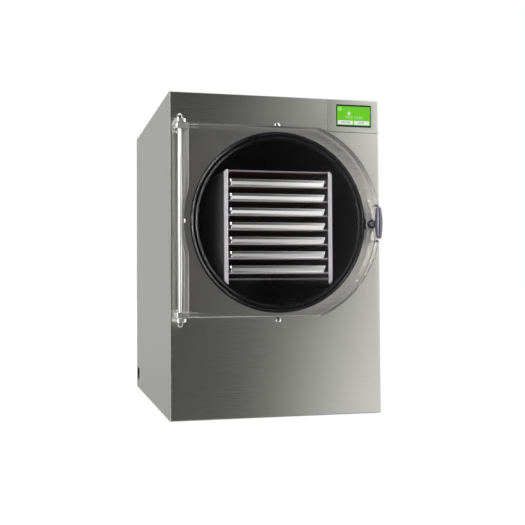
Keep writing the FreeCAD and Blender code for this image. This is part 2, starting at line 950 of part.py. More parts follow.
def make_drum():
    body = drum_body("vacuum_drum")
    outer = "drum_bore + drum_wall"
    rear = "drum_depth + drum_end"
    flange_back = "flange_start + flange_thick"
    profile = new_sketch(body, "XY_Plane")
    draw_outline(profile, [
        ("drum_bore", "-drum_lip"), (outer, "-drum_lip"), (outer, "flange_start"),
        ("flange_radius", "flange_start"), ("flange_radius", flange_back), (outer, flange_back),
        (outer, rear), ("0", rear), ("0", "drum_depth"), ("drum_bore", "drum_depth"),
    ])
    revolve(body, profile)
    bolts = (("0", "bolt_circle"), ("0", "-bolt_circle"), ("-bolt_circle", "0"))
    bosses = new_sketch(body, "XZ_Plane", "flange_start")
    for x, z in bolts:
        draw_circle(bosses, x, z, "boss_width")
    pad(body, bosses, "boss_length + flange_thick")
    holes = new_sketch(body, "XZ_Plane", "flange_start - 1")
    for x, z in bolts:
        draw_circle(holes, x, z, "bolt_shank + hole_play")
    draw_circle(holes, "latch_x", "latch_z - drum_z", "receiver_body + 0.3")
    pocket(body, holes, "boss_length + flange_thick + 2")
    ports = new_sketch(body, "XZ_Plane", "drum_depth - 1")
    draw_circle(ports, "port_x", "port_z - drum_z", "port_radius + hole_play")
    draw_circle(ports, "lead_x", "lead_z - drum_z", "lead_radius + hole_play")
    pocket(body, ports, "drum_end + 2")
    drain = new_sketch(body, "XY_Plane", "-drum_bore - drum_wall - 1")
    draw_circle(drain, "0", "drain_y", "drain_radius + hole_play")
    pocket(body, drain, "drum_wall + 6")
    keep(body, "vacuum_drum")


def make_gasket():
    """A soft ring that hooks over the drum's lip, with a rib over the lip and a round bead outside it."""
    body = drum_body("door_gasket")
    seat = "-gasket_seat"
    face = "-gasket_face"
    crest = "-gasket_front"
    lip = "drum_bore + drum_wall + 0.3"
    back = "-gasket_back"
    web = "-gasket_back - gasket_web"
    profile = new_sketch(body, "XY_Plane")
    draw_outline(profile, [
        ("gasket_inner", web), ("rib_start", web), ("rib_start", crest), ("rib_end", crest),
        ("rib_end", face), ("gasket_outer", face), ("gasket_outer", seat), (lip, seat), (lip, back),
        ("gasket_inner", back),
    ])
    revolve(body, profile)
    levels = (value(crest), value(face))
    rim = value("gasket_outer") - 0.1

    def is_front_edge(middle, box):
        on_rib = abs(box.YMax - levels[0]) < 0.01
        on_rim = abs(box.YMax - levels[1]) < 0.01 and box.XMax > rim
        return on_rib or on_rim

    dress(body, "Fillet", "gasket_round", is_front_edge)
    bead = new_sketch(body, "XY_Plane")
    revolve(body, draw_circle(bead, "bead_circle", "bead_radius - gasket_front", "bead_radius"))
    tab = new_sketch(body, "XZ_Plane", "-gasket_face + 0.5")
    middle_z = "latch_z - drum_z"
    low = f"{middle_z} - tab_height / 2"
    draw_box(tab, "gasket_outer - 4", "gasket_outer + tab_reach", low, f"{middle_z} + tab_height / 2")
    pad(body, tab, "gasket_face - 0.5 - gasket_seat")
    keep(body, "door_gasket")


def make_drum_bolts():
    bolt = screw_body("drum_bolt", "bolt_head", "bolt_dome", "bolt_shank", "bolt_length", "bolt_socket")
    places = [("0", "drum_z + bolt_circle"), ("0", "drum_z - bolt_circle"), ("-bolt_circle", "drum_z")]
    group("drum_bolts", bolt, [shift(x, "front_face", z, (1, 0, 0), 90) for x, z in places])


def make_insulation():
    body = drum_body("insulation_jacket")
    profile = new_sketch(body, "XY_Plane")
    draw_outline(profile, [
        ("foam_inner", "foam_start"), ("foam_outer", "foam_start"), ("foam_outer", "foam_end"),
        ("0", "foam_end"), ("0", "foam_rear"), ("foam_inner", "foam_rear"),
    ])
    revolve(body, profile)
    rear = new_sketch(body, "XZ_Plane", "foam_rear - 1")
    draw_circle(rear, "port_x", "port_z - drum_z", "port_radius + 1")
    draw_circle(rear, "lead_x", "lead_z - drum_z", "lead_radius + 1")
    pocket(body, rear, "foam_end - foam_rear + 2")
    under = new_sketch(body, "XY_Plane", "-foam_outer - 1")
    for y in ("coil_start", "coil_start + coil_pitch * coil_turns"):
        draw_circle(under, "0", y, "coil_tube + 3")
    draw_circle(under, "0", "drain_y", "drain_radius + 2")
    pocket(body, under, "foam_outer - foam_inner + 10")
    keep(body, "insulation_jacket")


def make_evaporator_coil():
    """Rings of copper tube, open at the bottom and joined end to end by U bends."""
    radius = value("coil_radius")
    thick = value("coil_tube")
    pitch = value("coil_pitch")
    bend = value("coil_bend")
    first_end = math.radians(-value("coil_overrun"))
    last_end = math.radians(360 - value("coil_gap"))
    sweep = math.degrees(last_end - first_end)
    pieces = []
    rings = int(value("coil_turns")) + 1
    for ring in range(rings):
        height = UP * (ring * pitch)
        turn = Part.makeTorus(radius, thick, height, UP, 0, 360, sweep)
        turn.rotate(ORIGIN, UP, math.degrees(first_end))
        pieces.append(turn)
        if ring == rings - 1:
            break
        angle, heading = (last_end, 1) if ring % 2 == 0 else (first_end, -1)
        onward = FreeCAD.Vector(-math.sin(angle), math.cos(angle), 0) * heading * (bend + 1)
        end = FreeCAD.Vector(math.cos(angle), math.sin(angle), 0) * radius + height
        step = UP * pitch
        pieces.append(tube([end, end + onward, end + onward + step, end + step], thick, bend))
    coil = pieces[0].multiFuse(pieces[1:])
    lying = FreeCAD.Rotation(UP * -1, FreeCAD.Vector(-1, 0, 0), BACKWARD)
    fixed("evaporator_coil", coil, FreeCAD.Placement(point("0", COIL_START_Y, "drum_z"), lying))


def make_saddles():
    body = new_body("saddle_pattern")
    plate = new_sketch(body, "XZ_Plane")
    draw_box(plate, "-saddle_half", "saddle_half", "deck_top", "saddle_top")
    pad(body, plate, "saddle_thick")
    cradle = new_sketch(body, "XZ_Plane", "-1")
    pocket(body, draw_circle(cradle, "0", "drum_z", "foam_outer + 0.3"), "saddle_thick + 2")
    places = [shift("0", f"front_face + {y}", "0") for y in ("saddle_front", "saddle_rear")]
    group("drum_saddles", body, places)


def make_ports():
    inside = "front_face + drum_depth + 1"
    length = "port_end - drum_depth - 1"
    port = ("port_x", inside, "port_z")
    pipe = new_rod("port_pipe", port, "port_radius", length, "y")
    collar_starts = (
        "front_face + cab_depth - side_skin - collar_thick - 0.2", "front_face + cab_depth + 0.2"
    )
    collars = [
        new_rod(f"port_collar_{number}", ("port_x", y, "port_z"), "collar_radius", "collar_thick", "y")
        for number, y in enumerate(collar_starts)
    ]
    ahead = ("port_x", f"{inside} - 1", "port_z")
    bore = new_rod("port_bore", ahead, "port_radius - port_wall", f"{length} + 2", "y")
    keep(cut("vacuum_port", fuse("port_solid", [pipe] + collars), bore), "vacuum_port")


def make_feedthrough():
    """A sealed plug with pins that takes the heater wires through the drum's rear wall."""
    face = "front_face + drum_depth"
    plug_start = ("lead_x", f"{face} + 1", "lead_z")
    plug = new_rod("lead_plug", plug_start, "lead_radius", "foam_end - drum_depth", "y")
    neck = new_rod("lead_neck", ("lead_x", f"{face} - 1", "lead_z"), "lead_radius", "3", "y")
    rim_start = ("lead_x", f"{face} - lead_rim_thick - 0.2", "lead_z")
    rim = new_rod("lead_rim", rim_start, "lead_rim", "lead_rim_thick", "y")
    pin_start = f"{face} - lead_pin_length - 2"
    pins = []
    for number, (x, z) in enumerate(hexagon("lead_pin_circle")):
        place = (f"lead_x + {x}", pin_start, f"lead_z + {z}")
        pins.append(new_rod(f"lead_pin_{number}", place, "lead_pin_radius", "lead_pin_length", "y"))
    keep(fuse("heater_feedthrough", [plug, rim, neck] + pins), "heater_feedthrough")


def make_drain():
    under = "front_face + drain_y"
    exit_y = "front_face + (slot_start + slot_end) / 2"
    exit_z = "(slot_low + slot_high) / 2"
    run = "deck_top - drain_drop"
    route = [
        point("0", under, "drum_z - drum_bore - 1.5"), point("0", under, run),
        point("drain_x", under, run), point("drain_x", under, exit_z),
        point("drain_x", exit_y, exit_z), point("drain_exit", exit_y, exit_z),
    ]
    pipe = tube(route, value("drain_radius"), value("drain_bend"), value("drain_wall"))
    fixed("drain_tube", pipe)


# ---- rack and trays -----------------------------------------------------------------------------


def make_rack_sides():
    """Each side is one folded sheet: a wall with bevelled long edges, a foot and a front flange."""
    for label, side in (("rack_side_left", -1), ("rack_side_right", 1)):
        body = new_body(label, y="front_face + rack_front")
        turn = "rack_sheet * tan(22.5)"

        def at(inward, up, side=side):
            """A corner of the section, measured inwards from the outer wall."""
            return (f"{side} * (rack_half - ({inward}))", up)

        outside = [
            at("0", "rack_low + rack_chamfer"), at("rack_chamfer", "rack_low"),
            at("rack_half - rack_inner", "rack_low"),
        ]
        inside = [
            at("rack_half - rack_inner", "rack_low + rack_sheet"),
            at(f"rack_chamfer + {turn}", "rack_low + rack_sheet"),
            at("rack_sheet", f"rack_low + rack_chamfer + {turn}"),
            at("rack_sheet", f"rack_high - rack_chamfer - {turn}"),
            at("rack_chamfer + rack_sheet * sqrt(2)", "rack_high"),
        ]
        crown = [at("rack_chamfer", "rack_high"), at("0", "rack_high - rack_chamfer")]
        pad(body, draw_outline(new_sketch(body, "XZ_Plane"), outside + inside + crown), "rack_length")
        flange = new_sketch(body, "XZ_Plane")
        draw_outline(flange, outside + [at("rack_half - rack_inner", "rack_high")] + crown)
        pad(body, flange, "rack_sheet")
        hem = new_sketch(body, "XY_Plane", "rack_low")
        draw_circle(hem, f"{side} * (rack_inner + rack_hem)", "rack_sheet - rack_hem", "rack_hem")
        pad(body, hem, "rack_high - rack_low")
        keep(body, label)


def shelf_solid(name, top, end, half="rack_half - rack_sheet - rack_play"):
    """A flat shelf between the rack's sides, with its front edge turned down and back."""
    front = "front_face + rack_front + rack_sheet + rack_play"
    plate = new_box(f"{name}_plate", (f"-({half})", front, f"{top} - rack_sheet"), (half, end, top))
    drop = "shelf_lip * cos(lip_lean) + rack_sheet * sin(lip_lean)"
    low = (
        "-rack_inner + rack_play", f"{front} + shelf_lip * sin(lip_lean)", f"{top} - ({drop})",
    )
    high = ("rack_inner - rack_play", f"{low[1]} + rack_sheet", f"{low[2]} + shelf_lip")
    lip = new_box(f"{name}_lip", low, high)
    lip.Placement.Rotation = FreeCAD.Rotation(FreeCAD.Vector(1, 0, 0), value("lip_lean"))
    return fuse(name, [plate, lip])


SHELF_TOPS = [f"shelf_first + {step} * shelf_pitch" for step in range(SHELVES)]
RACK_LID = "rack_high - 1.5"


def make_rack_plates():
    rear = "front_face + rack_front + rack_length"
    keep(shelf_solid("rack_top", RACK_LID, rear, "rack_half - rack_chamfer - rack_sheet"), "rack_top")
    keep(shelf_solid("rack_tie", "tie_z", "front_face + rack_front + tie_depth"), "rack_tie")
    shelf = shelf_solid("shelf_pattern", "0", "front_face + shelf_end")
    group("rack_shelves", shelf, [shift("0", "0", top) for top in SHELF_TOPS])
    mat = new_box(
        "mat_pattern",
        ("-mat_half", "front_face + mat_start", "-rack_sheet - mat_thick"),
        ("mat_half", "front_face + mat_end", "-rack_sheet"),
    )
    group("heater_mats", mat, [shift("0", "0", top) for top in SHELF_TOPS + [RACK_LID]])


def rounded_box(sketch, half_x, half_y, corner):
    """A rectangle about the sketch's origin with four round corners."""
    turn = value(corner)
    right = half_x
    left = f"-({half_x})"
    far = half_y
    near = f"-({half_y})"
    right_in = f"({half_x}) - ({corner})"
    left_in = f"-({right_in})"
    far_in = f"({half_y}) - ({corner})"
    near_in = f"-({far_in})"
    sides = [
        ((right, near_in), (right, far_in)), ((right_in, far), (left_in, far)),
        ((left, far_in), (left, near_in)), ((left_in, near), (right_in, near)),
    ]
    centres = [(right_in, far_in), (left_in, far_in), (left_in, near_in), (right_in, near_in)]
    for step, (ends, centre) in enumerate(zip(sides, centres)):
        start, end = [point(x, y) for x, y in ends]
        draw_line(sketch, start, end)
        circle = Part.Circle(point(*centre), UP, turn)
        sketch.addGeometry(Part.ArcOfCircle(circle, step * math.pi / 2, (step + 1) * math.pi / 2))
    for step, ends in enumerate(sides):
        line = 2 * step
        arc = line + 1
        for position, (x, y) in enumerate(ends, start=1):
            place_vertex(sketch, line, position, x, y)
        join(sketch, arc, 1, line, 2)
        join(sketch, arc, 2, (line + 2) % 8, 1)
        rule = sketch.addConstraint(Sketcher.Constraint("Radius", arc, turn))
        bind(sketch, f"Constraints[{rule}]", corner)
    return sketch


def make_trays():
    for number, top in enumerate(SHELF_TOPS, start=1):
        label = f"tray_{number}"
        body = new_body(label, y="front_face + tray_start + tray_length / 2", z=f"{top} + 0.1")
        loft_tray(body)
        keep(body, label)


def loft_tray(body):
    """A pressed tray: walls that flare up to a knee and then stand straight, with a rolled rim."""
    steps = (
        ("Additive", "0", "0", "tray_height"),
        ("Subtractive", "tray_wall", "tray_wall", "tray_height + 0.5"),
    )
    for kind, wall, low, high in steps:
        sections = []
        floor = (low, "tray_rim + tray_flare", "0")
        knee = ("tray_knee", "tray_rim", "tray_flare / 2")
        mouth = (high, "tray_rim", "tray_flare / 2")
        for at, inset, corner in (floor, knee, mouth):
            section = new_sketch(body, "XY_Plane", at)
            half_width = f"tray_width / 2 - ({inset}) - {wall}"
            half_length = f"tray_length / 2 - ({inset}) - {wall}"
            rounded_box(section, half_width, half_length, f"tray_corner + {corner} - {wall}")
            sections.append(section)
        loft = body.newObject(f"PartDesign::{kind}Loft", body.Name + "_loft")
        loft.Profile = sections[0]
        loft.Sections = sections[1:]
        loft.Ruled = True
        doc.recompute()
        if kind == "Additive":
            roll = new_sketch(body, "XY_Plane", "tray_height - tray_roll")
            rounded_box(roll, "tray_width / 2", "tray_length / 2", "tray_corner + tray_flare")
            pad(body, roll, "tray_roll")
    crest = value("tray_height")
    reach_x = value("tray_width / 2 - 1")
    reach_y = value("tray_length / 2 - 1")

    def is_outer_rim(middle, box):
        on_crest = box.ZLength < 0.01 and abs(box.ZMax - crest) < 0.01
        return on_crest and (max(box.XMax, -box.XMin) > reach_x or max(box.YMax, -box.YMin) > reach_y)

    dress(body, "Fillet", "tray_rim * 0.45", is_outer_rim)


# ---- hinge --------------------------------------------------------------------------------------


def make_hinge():
    for label, side in (("hinge_bracket_upper", 1), ("hinge_bracket_lower", -1)):
        near = f"drum_z + {side} * ({ARM_NEAR})"
        far = f"drum_z + {side} * (rod_half)"
        root = f"drum_z + {side} * (door_half - arm_root)"
        body = new_body(label)
        section = new_sketch(body, "YZ_Plane", "arm_left")
        draw_outline(section, [
            ("front_face - arm_front", near), ("front_face - arm_base", near),
            ("front_face - arm_base", root), ("front_face", root), ("front_face", far),
            ("front_face - arm_front", far),
        ])
        pad(body, section, "arm_right - arm_left")
        front = value("front_face - arm_front")
        dress(
            body, "Fillet", "arm_round",
            lambda middle, box: box.ZLength > 5 and box.YLength < 0.01 and abs(middle.y - front) < 0.01,
        )
        bore = new_sketch(body, "XY_Plane", "0")
        draw_circle(bore, "hinge_x", "front_face - hinge_out", "rod_radius + bore_play")
        pocket(body, bore, "cab_height")
        screws = new_sketch(body, "XZ_Plane", "front_face - arm_base - 1")
        for z in BRACKET_SCREW_Z[:2] if side < 0 else BRACKET_SCREW_Z[2:]:
            draw_circle(screws, "hinge_x", z, "screw_shank + hole_play")
        pocket(body, screws, "arm_base + 2")
        keep(body, label)

    rod = new_body("hinge_rod", x="hinge_x", y="front_face - hinge_out", z="drum_z")
    profile = new_sketch(rod, "XZ_Plane")
    draw_outline(profile, [
        ("0", "-neck_half"), ("neck_radius - 0.6", "-neck_half"), ("neck_radius", "-neck_half + 0.6"),
        ("neck_radius", "-rod_half"), ("rod_radius", "-rod_half"), ("rod_radius", "rod_half"),
        ("neck_radius", "rod_half"), ("neck_radius", "neck_half - 0.6"), ("neck_radius - 0.6", "neck_half"),
        ("0", "neck_half"),
    ])
    revolve(rod, profile)
    keep(rod, "hinge_rod")

    screw_sizes = ("arm_screw_head", "arm_screw_cap", "screw_shank", "arm_screw_length", "arm_screw_socket")
    screw = screw_body("bracket_screw", *screw_sizes)
    seats = [shift("hinge_x", "front_face - arm_base", z, (1, 0, 0), 90) for z in BRACKET_SCREW_Z]
    group("hinge_screws", screw, seats)

    washer = new_body("washer_pattern")
    flare = new_sketch(washer, "XZ_Plane")
    hole = "neck_radius + 0.1"
    draw_outline(flare, [
        (hole, "0"), ("washer_radius", "0"), ("washer_radius", "washer_edge"),
        ("washer_radius - 2", "washer_edge + 0.8"), ("washer_top + 1", "washer_thick - 0.6"),
        ("washer_top", "washer_thick"), (hole, "washer_thick"),
    ])
    revolve(washer, flare)
    group("hinge_washers", washer, rod_ends("rod_half + 0.1"))

    crown = new_body("nut_pattern")
    flats = new_sketch(crown, "XY_Plane")
    pad(crown, draw_outline(flats, hexagon("nut_flats / 2 / cos(30)")), "nut_height")
    dome = new_sketch(crown, "XZ_Plane")
    arc = []
    for turn in range(0, 90, 15):
        out = math.cos(math.radians(turn))
        rise = math.sin(math.radians(turn))
        arc.append((f"nut_dome * {out:.5f}", f"nut_height + nut_dome * {rise:.5f}"))
    foot = [("0", "nut_height / 2"), ("nut_dome", "nut_height / 2")]
    draw_outline(dome, foot + arc + [("0", "nut_height + nut_dome")])
    revolve(crown, dome)
    thread = new_sketch(crown, "XY_Plane", "-1")
    draw_circle(thread, "0", "0", "neck_radius + 0.05")
    pocket(crown, thread, "neck_half - rod_half - washer_thick + 1.5")
    group("acorn_nuts", crown, rod_ends("rod_half + washer_thick + 0.2"))


def rod_ends(height):
    """The places at both ends of the hinge rod, turned to face outwards."""
    return [
        shift("hinge_x", "front_face - hinge_out", f"drum_z + {height}"),
        shift("hinge_x", "front_face - hinge_out", f"drum_z - ({height})", (1, 0, 0), 180),
    ]


# ---- door and latch -----------------------------------------------------------------------------

DOOR_BACK = "front_face - door_gap"
DOOR_FRONT = "front_face - door_gap - door_thick"
BLOCK_SCREW_Z = [
    f"drum_z + {side} * (door_half - block_high / 2) + {step} * block_screw_gap / 2"
    for side in (1, -1)
    for step in (1, -1)
]


def make_door():
    body = new_body("door_panel")
    disc = new_sketch(body, "XZ_Plane", DOOR_FRONT)
    pad(body, draw_circle(disc, "disc_x", "drum_z", "disc_radius"), "door_thick")
    wing = new_sketch(body, "XZ_Plane", DOOR_FRONT)
    draw_box(wing, "door_left", "disc_x", "drum_z - disc_radius", "drum_z + disc_radius")
    pad(body, wing, "door_thick")
    flats = new_sketch(body, "XZ_Plane", f"{DOOR_FRONT} - 1")
    for low, high in (("door_half", "disc_radius + 5"), ("-disc_radius - 5", "-door_half")):
        draw_box(flats, "door_left - 40", "disc_x + disc_radius + 5", f"drum_z + {low}", f"drum_z + {high}")
    pocket(body, flats, "door_thick + 2")
    faces = (value(DOOR_FRONT), value(DOOR_BACK))

    def is_face_edge(middle, box):
        return box.YLength < 0.01 and min(abs(box.YMax - y) for y in faces) < 0.01

    dress(body, "Chamfer", "door_bevel", is_face_edge)
    shaft = new_sketch(body, "XZ_Plane", f"{DOOR_FRONT} - 1")
    pocket(body, draw_circle(shaft, "latch_x", "latch_z", "bushing_radius + bore_play"), "door_thick + 2")
    pins = new_sketch(body, "XZ_Plane", f"{DOOR_FRONT} - 1")
    for side in (1, -1):
        draw_circle(pins, "latch_x", f"latch_z + {side} * pin_rise", "pin_radius + bore_play")
    pocket(body, pins, "door_thick - pin_end + 2")
    screws = new_sketch(body, "YZ_Plane", "door_left - 1")
    for z in BLOCK_SCREW_Z:
        draw_circle(screws, "front_face - block_screw_out", z, "screw_shank + hole_play")
    pocket(body, screws, "block_screw_end - door_left + 2")
    keep(body, "door_panel")


def make_hinge_blocks():
    for label, side in (("hinge_block_upper", 1), ("hinge_block_lower", -1)):
        low = f"drum_z + {side} * door_half" + (" - block_high" if side > 0 else "")
        body = new_body(label)
        plate = new_sketch(body, "XY_Plane", low)
        near = "front_face - block_front"
        draw_box(plate, "block_left", "door_left - block_gap", near, "front_face - block_back")
        pad(body, plate, "block_high")
        left = value("block_left")

        def is_outer_corner(middle, box):
            return box.ZLength > 5 and abs(middle.x - left) < 0.01

        dress(body, "Fillet", "block_round", is_outer_corner)
        dress(body, "Chamfer", "block_bevel", lambda middle, box: box.ZLength < 0.01)
        bore = new_sketch(body, "XY_Plane", f"{low} - 1")
        draw_circle(bore, "hinge_x", "front_face - hinge_out", "rod_radius + bore_play")
        pocket(body, bore, "block_high + 2")
        screws = new_sketch(body, "YZ_Plane", "block_left - 1")
        for z in BLOCK_SCREW_Z[:2] if side > 0 else BLOCK_SCREW_Z[2:]:
            draw_circle(screws, "front_face - block_screw_out", z, "screw_shank + hole_play")
        pocket(body, screws, "door_left - block_left + 2")
        keep(body, label)
    length = "block_screw_end - block_left"
    screw = screw_body(
        "block_screw", "block_screw_head", "block_screw_cap", "screw_shank", length, "block_screw_socket"
    )
    seats = [shift("block_left", "front_face - block_screw_out", z, (0, 1, 0), -90) for z in BLOCK_SCREW_Z]
    group("block_screws", screw, seats)


def make_latch():
    receiver = new_body("latch_receiver", x="latch_x", y="front_face", z="latch_z")
    cup = new_sketch(receiver, "XY_Plane")
    end = "receiver_end"
    inner_end = "receiver_end - receiver_wall"
    draw_outline(cup, [
        ("0", "-receiver_proud"), ("receiver_flange", "-receiver_proud"), ("receiver_flange", "0"),
        ("receiver_body", "0"), ("receiver_body", end), ("0", end), ("0", inner_end),
        ("receiver_bore", inner_end), ("receiver_bore", "receiver_wall"), ("0", "receiver_wall"),
    ])
    revolve(receiver, cup)
    keyway = new_sketch(receiver, "XZ_Plane", "-receiver_proud - 1")
    draw_box(keyway, "-keyway_width / 2", "keyway_width / 2", "-keyway_length / 2", "keyway_length / 2")
    pocket(receiver, keyway, "receiver_proud + receiver_wall + 2")
    eye = new_sketch(receiver, "XZ_Plane", "-receiver_proud - 1")
    pocket(receiver, draw_circle(eye, "0", "0", "keyway_round"), "receiver_proud + receiver_wall + 2")
    keep(receiver, "latch_receiver")

    bushing = new_body("latch_bushing", x="latch_x", y="front_face", z="latch_z")
    front = "-door_gap - door_thick"
    sleeve = new_sketch(bushing, "XY_Plane")
    bore = "shaft_radius + bore_play"
    rim = f"{front} - bushing_rim"
    draw_outline(sleeve, [
        (bore, rim), ("bushing_flange - 0.5", rim), ("bushing_flange", f"{rim} + 0.5"),
        ("bushing_flange", front), ("bushing_radius", front), ("bushing_radius", "-bushing_end"),
        (bore, "-bushing_end"),
    ])
    revolve(bushing, sleeve)
    keep(bushing, "latch_bushing")

    pin = screw_body("pin_pattern", "pin_head", "pin_cap", "pin_radius", "door_thick - pin_end")
    heights = [f"latch_z + {side} * pin_rise" for side in (1, -1)]
    group("latch_pins", pin, [shift("latch_x", DOOR_FRONT, z, (1, 0, 0), 90) for z in heights])

    shaft = new_body("latch_shaft", x="latch_x", y="front_face", z="latch_z")
    stem = new_sketch(shaft, "XZ_Plane", "-shaft_front")
    pad(shaft, draw_circle(stem, "0", "0", "shaft_radius"), "shaft_front + bar_start")
    bar = new_sketch(shaft, "XZ_Plane", "bar_start")
    draw_box(bar, "-bar_width / 2", "bar_width / 2", "-bar_length / 2", "bar_length / 2")
    pad(shaft, bar, "bar_thick")
    tip = value("bar_length / 2")

    def is_bar_end(middle, box):
        return box.YLength > 3 and abs(abs(middle.z) - tip) < 0.01

    dress(shaft, "Fillet", "bar_round", is_bar_end)
    keep(shaft, "latch_shaft")


def make_latch_handle():
    """A barrel-shaped grip, turned about its own long axis, on a short boss."""
    handle = new_body("latch_handle", x="latch_x", y="front_face - grip_out", z="latch_z")
    profile = new_sketch(handle, "XZ_Plane")
    sag = "(grip_radius - grip_tip)"
    swell = f"(grip_half ^ 2 + {sag} ^ 2) / (2 * {sag})"
    half = value("grip_half")
    spread = math.asin(half / value(swell))
    circle = Part.Circle(point(f"grip_radius - {swell}", "0"), UP, value(swell))
    side = profile.addGeometry(Part.ArcOfCircle(circle, -spread, spread))
    top = draw_line(profile, point("grip_tip", "grip_half"), point("0", "grip_half"))
    axis = draw_line(profile, point("0", "grip_half"), point("0", "-grip_half"))
    base = draw_line(profile, point("0", "-grip_half"), point("grip_tip", "-grip_half"))
    for one, two in ((side, top), (top, axis), (axis, base), (base, side)):
        join(profile, one, 2, two, 1)
    place_vertex(profile, top, 1, "grip_tip", "grip_half")
    place_vertex(profile, axis, 1, "0", "grip_half")
    place_vertex(profile, base, 1, "0", "-grip_half")
    place_vertex(profile, base, 2, "grip_tip", "-grip_half")
    bulge = profile.addConstraint(Sketcher.Constraint("Radius", side, value(swell)))
    bind(profile, f"Constraints[{bulge}]", swell)
    revolve(handle, profile)

    def is_end_edge(middle, box):
        return box.ZLength < 0.01 and abs(abs(middle.z) - half) < 0.01

    dress(handle, "Fillet", "grip_round", is_end_edge)
    boss = new_sketch(handle, "XZ_Plane", "0")
    pad(handle, draw_circle(boss, "0", "0", "boss_radius"), "grip_out - boss_back")
    socket = new_sketch(handle, "XZ_Plane", "grip_out - shaft_front - 0.5")
    pocket(handle, draw_circle(socket, "0", "0", "shaft_radius + boss_press"), "shaft_front")
    keep(handle, "latch_handle")


# ---- refrigeration set --------------------------------------------------------------------------


PAN_FLOOR = "pan_rise + front_skin + machine_gap"


def make_compressor():
    body = new_body("compressor", x="comp_x", y="front_face + comp_y")
    shell = new_sketch(body, "XZ_Plane")
    draw_outline(shell, [
        ("0", PAN_FLOOR), ("comp_radius * 0.7", PAN_FLOOR), ("comp_radius * 0.7", "comp_low"),
        ("comp_radius - comp_inset", "comp_low"), ("comp_radius", "comp_low + comp_rise"),
        ("comp_radius", "comp_high - comp_round"), ("comp_radius - 12", "comp_high - comp_round / 2"),
        ("comp_radius * 0.6", "comp_high - 4"), ("0", "comp_high"),
    ])
    revolve(body, shell)
    weld = new_sketch(body, "XZ_Plane")
    seam = "(comp_low + comp_high) / 2"
    draw_box(weld, "comp_radius - 2", "comp_radius + comp_weld", f"{seam} - 3", f"{seam} + 3")
    revolve(body, weld)
    feet = new_sketch(body, "XY_Plane", PAN_FLOOR)
    draw_box(feet, "-comp_foot", "comp_foot", "-comp_radius * 0.8", "comp_radius * 0.8")
    pad(body, feet, "comp_plate")
    keep(body, "compressor")


def make_condenser():
    body = new_body("condenser", y="front_face + cond_start")
    block = new_sketch(body, "XZ_Plane")
    pad(body, draw_box(block, "-cond_half", "cond_half", "cond_low", "cond_high"), "cond_thick")
    legs = new_sketch(body, "XZ_Plane")
    for side in (-1, 1):
        near = f"{side} * cond_half"
        far = f"{side} * (cond_half - cond_leg)"
        left, right = (near, far) if side < 0 else (far, near)
        draw_box(legs, left, right, PAN_FLOOR, "cond_low + 5")
    pad(body, legs, "cond_thick")
    row = "(cond_high - cond_low - 6) / fin_rows"
    gaps = new_sketch(body, "XZ_Plane", "-1")
    start = "-fin_pitch * (fin_columns - 1) / 2"
    first = (f"{start} - fin_slot / 2", f"{start} + fin_slot / 2", "cond_low + 6", f"cond_low + {row} - 3")
    draw_box(gaps, *first)
    slot = pocket(body, gaps, "cond_thick + 2")
    across = body.newObject("PartDesign::LinearPattern", "fin_columns_row")
    across.Direction = (gaps, ["H_Axis"])
    bind(across, "Length", "fin_pitch * (fin_columns - 1)")
    bind(across, "Occurrences", "fin_columns")
    upward = body.newObject("PartDesign::LinearPattern", "fin_rows_row")
    upward.Direction = (gaps, ["V_Axis"])
    bind(upward, "Length", f"{row} * (fin_rows - 1)")
    bind(upward, "Occurrences", "fin_rows")
    both = body.newObject("PartDesign::MultiTransform", "fin_grid")
    both.Originals = [slot]
    both.Transformations = [across, upward]
    body.Tip = both
    doc.recompute()
    keep(body, "condenser")


def make_fan():
    start = "front_face + shroud_start"
    body = new_body("fan_shroud")
    end = "front_face + shroud_end"
    reach = "cond_half - front_skin"
    inside = (f"-({reach})", reach, "cond_low + front_skin", "cond_high - front_skin")
    folded_box(body, "-cond_half", "cond_half", "cond_low", "cond_high", start, end, "front_skin", inside)
    hole = new_sketch(body, "XZ_Plane", f"{start} - 1")
    pocket(body, draw_circle(hole, "0", "fan_z", "shroud_hole"), "front_skin + 2")
    legs = new_sketch(body, "XZ_Plane", "front_face + strut_y")
    for side in (-1, 1):
        ends = (f"{side} * strut_x", f"{side} * (strut_x + strut_thick)")
        left, right = ends if side > 0 else ends[::-1]
        draw_box(legs, left, right, "fan_z - strut_high / 2", "fan_z + strut_high / 2")
    pad(body, legs, "shroud_start - strut_y + front_skin / 2")
    strut = new_sketch(body, "XZ_Plane", "front_face + strut_y")
    strut_end = "strut_x + strut_thick"
    draw_box(strut, f"-({strut_end})", strut_end, "fan_z - strut_high / 2", "fan_z + strut_high / 2")
    pad(body, strut, "strut_thick")
    eye = new_sketch(body, "XZ_Plane", "front_face + strut_y - 1")
    pocket(body, draw_circle(eye, "0", "fan_z", "shaft_radius + 1"), "strut_thick + 2")
    feet = new_sketch(body, "XZ_Plane", start)
    near = "cond_half - shroud_foot"
    for left, right in (("-cond_half", f"-({near})"), (near, "cond_half")):
        draw_box(feet, left, right, PAN_FLOOR, "cond_low + 1")
    pad(body, feet, "front_skin")
    keep(body, "fan_shroud")

    motor = new_body("fan_motor", y="front_face + motor_start", z="fan_z")
    can = new_sketch(motor, "XY_Plane")
    length = "strut_y - motor_start - 0.2"
    bore = "shaft_radius + bore_play"
    draw_outline(can, [
        ("0", "0"), ("motor_radius - motor_edge", "0"), ("motor_radius", "motor_edge"),
        ("motor_radius", f"{length} - 4"), ("motor_radius - 4", length), (bore, length), (bore, "8"),
        ("0", "8"),
    ])
    revolve(motor, can)
    keep(motor, "fan_motor")

    fixed("fan_blade", fan_shape())


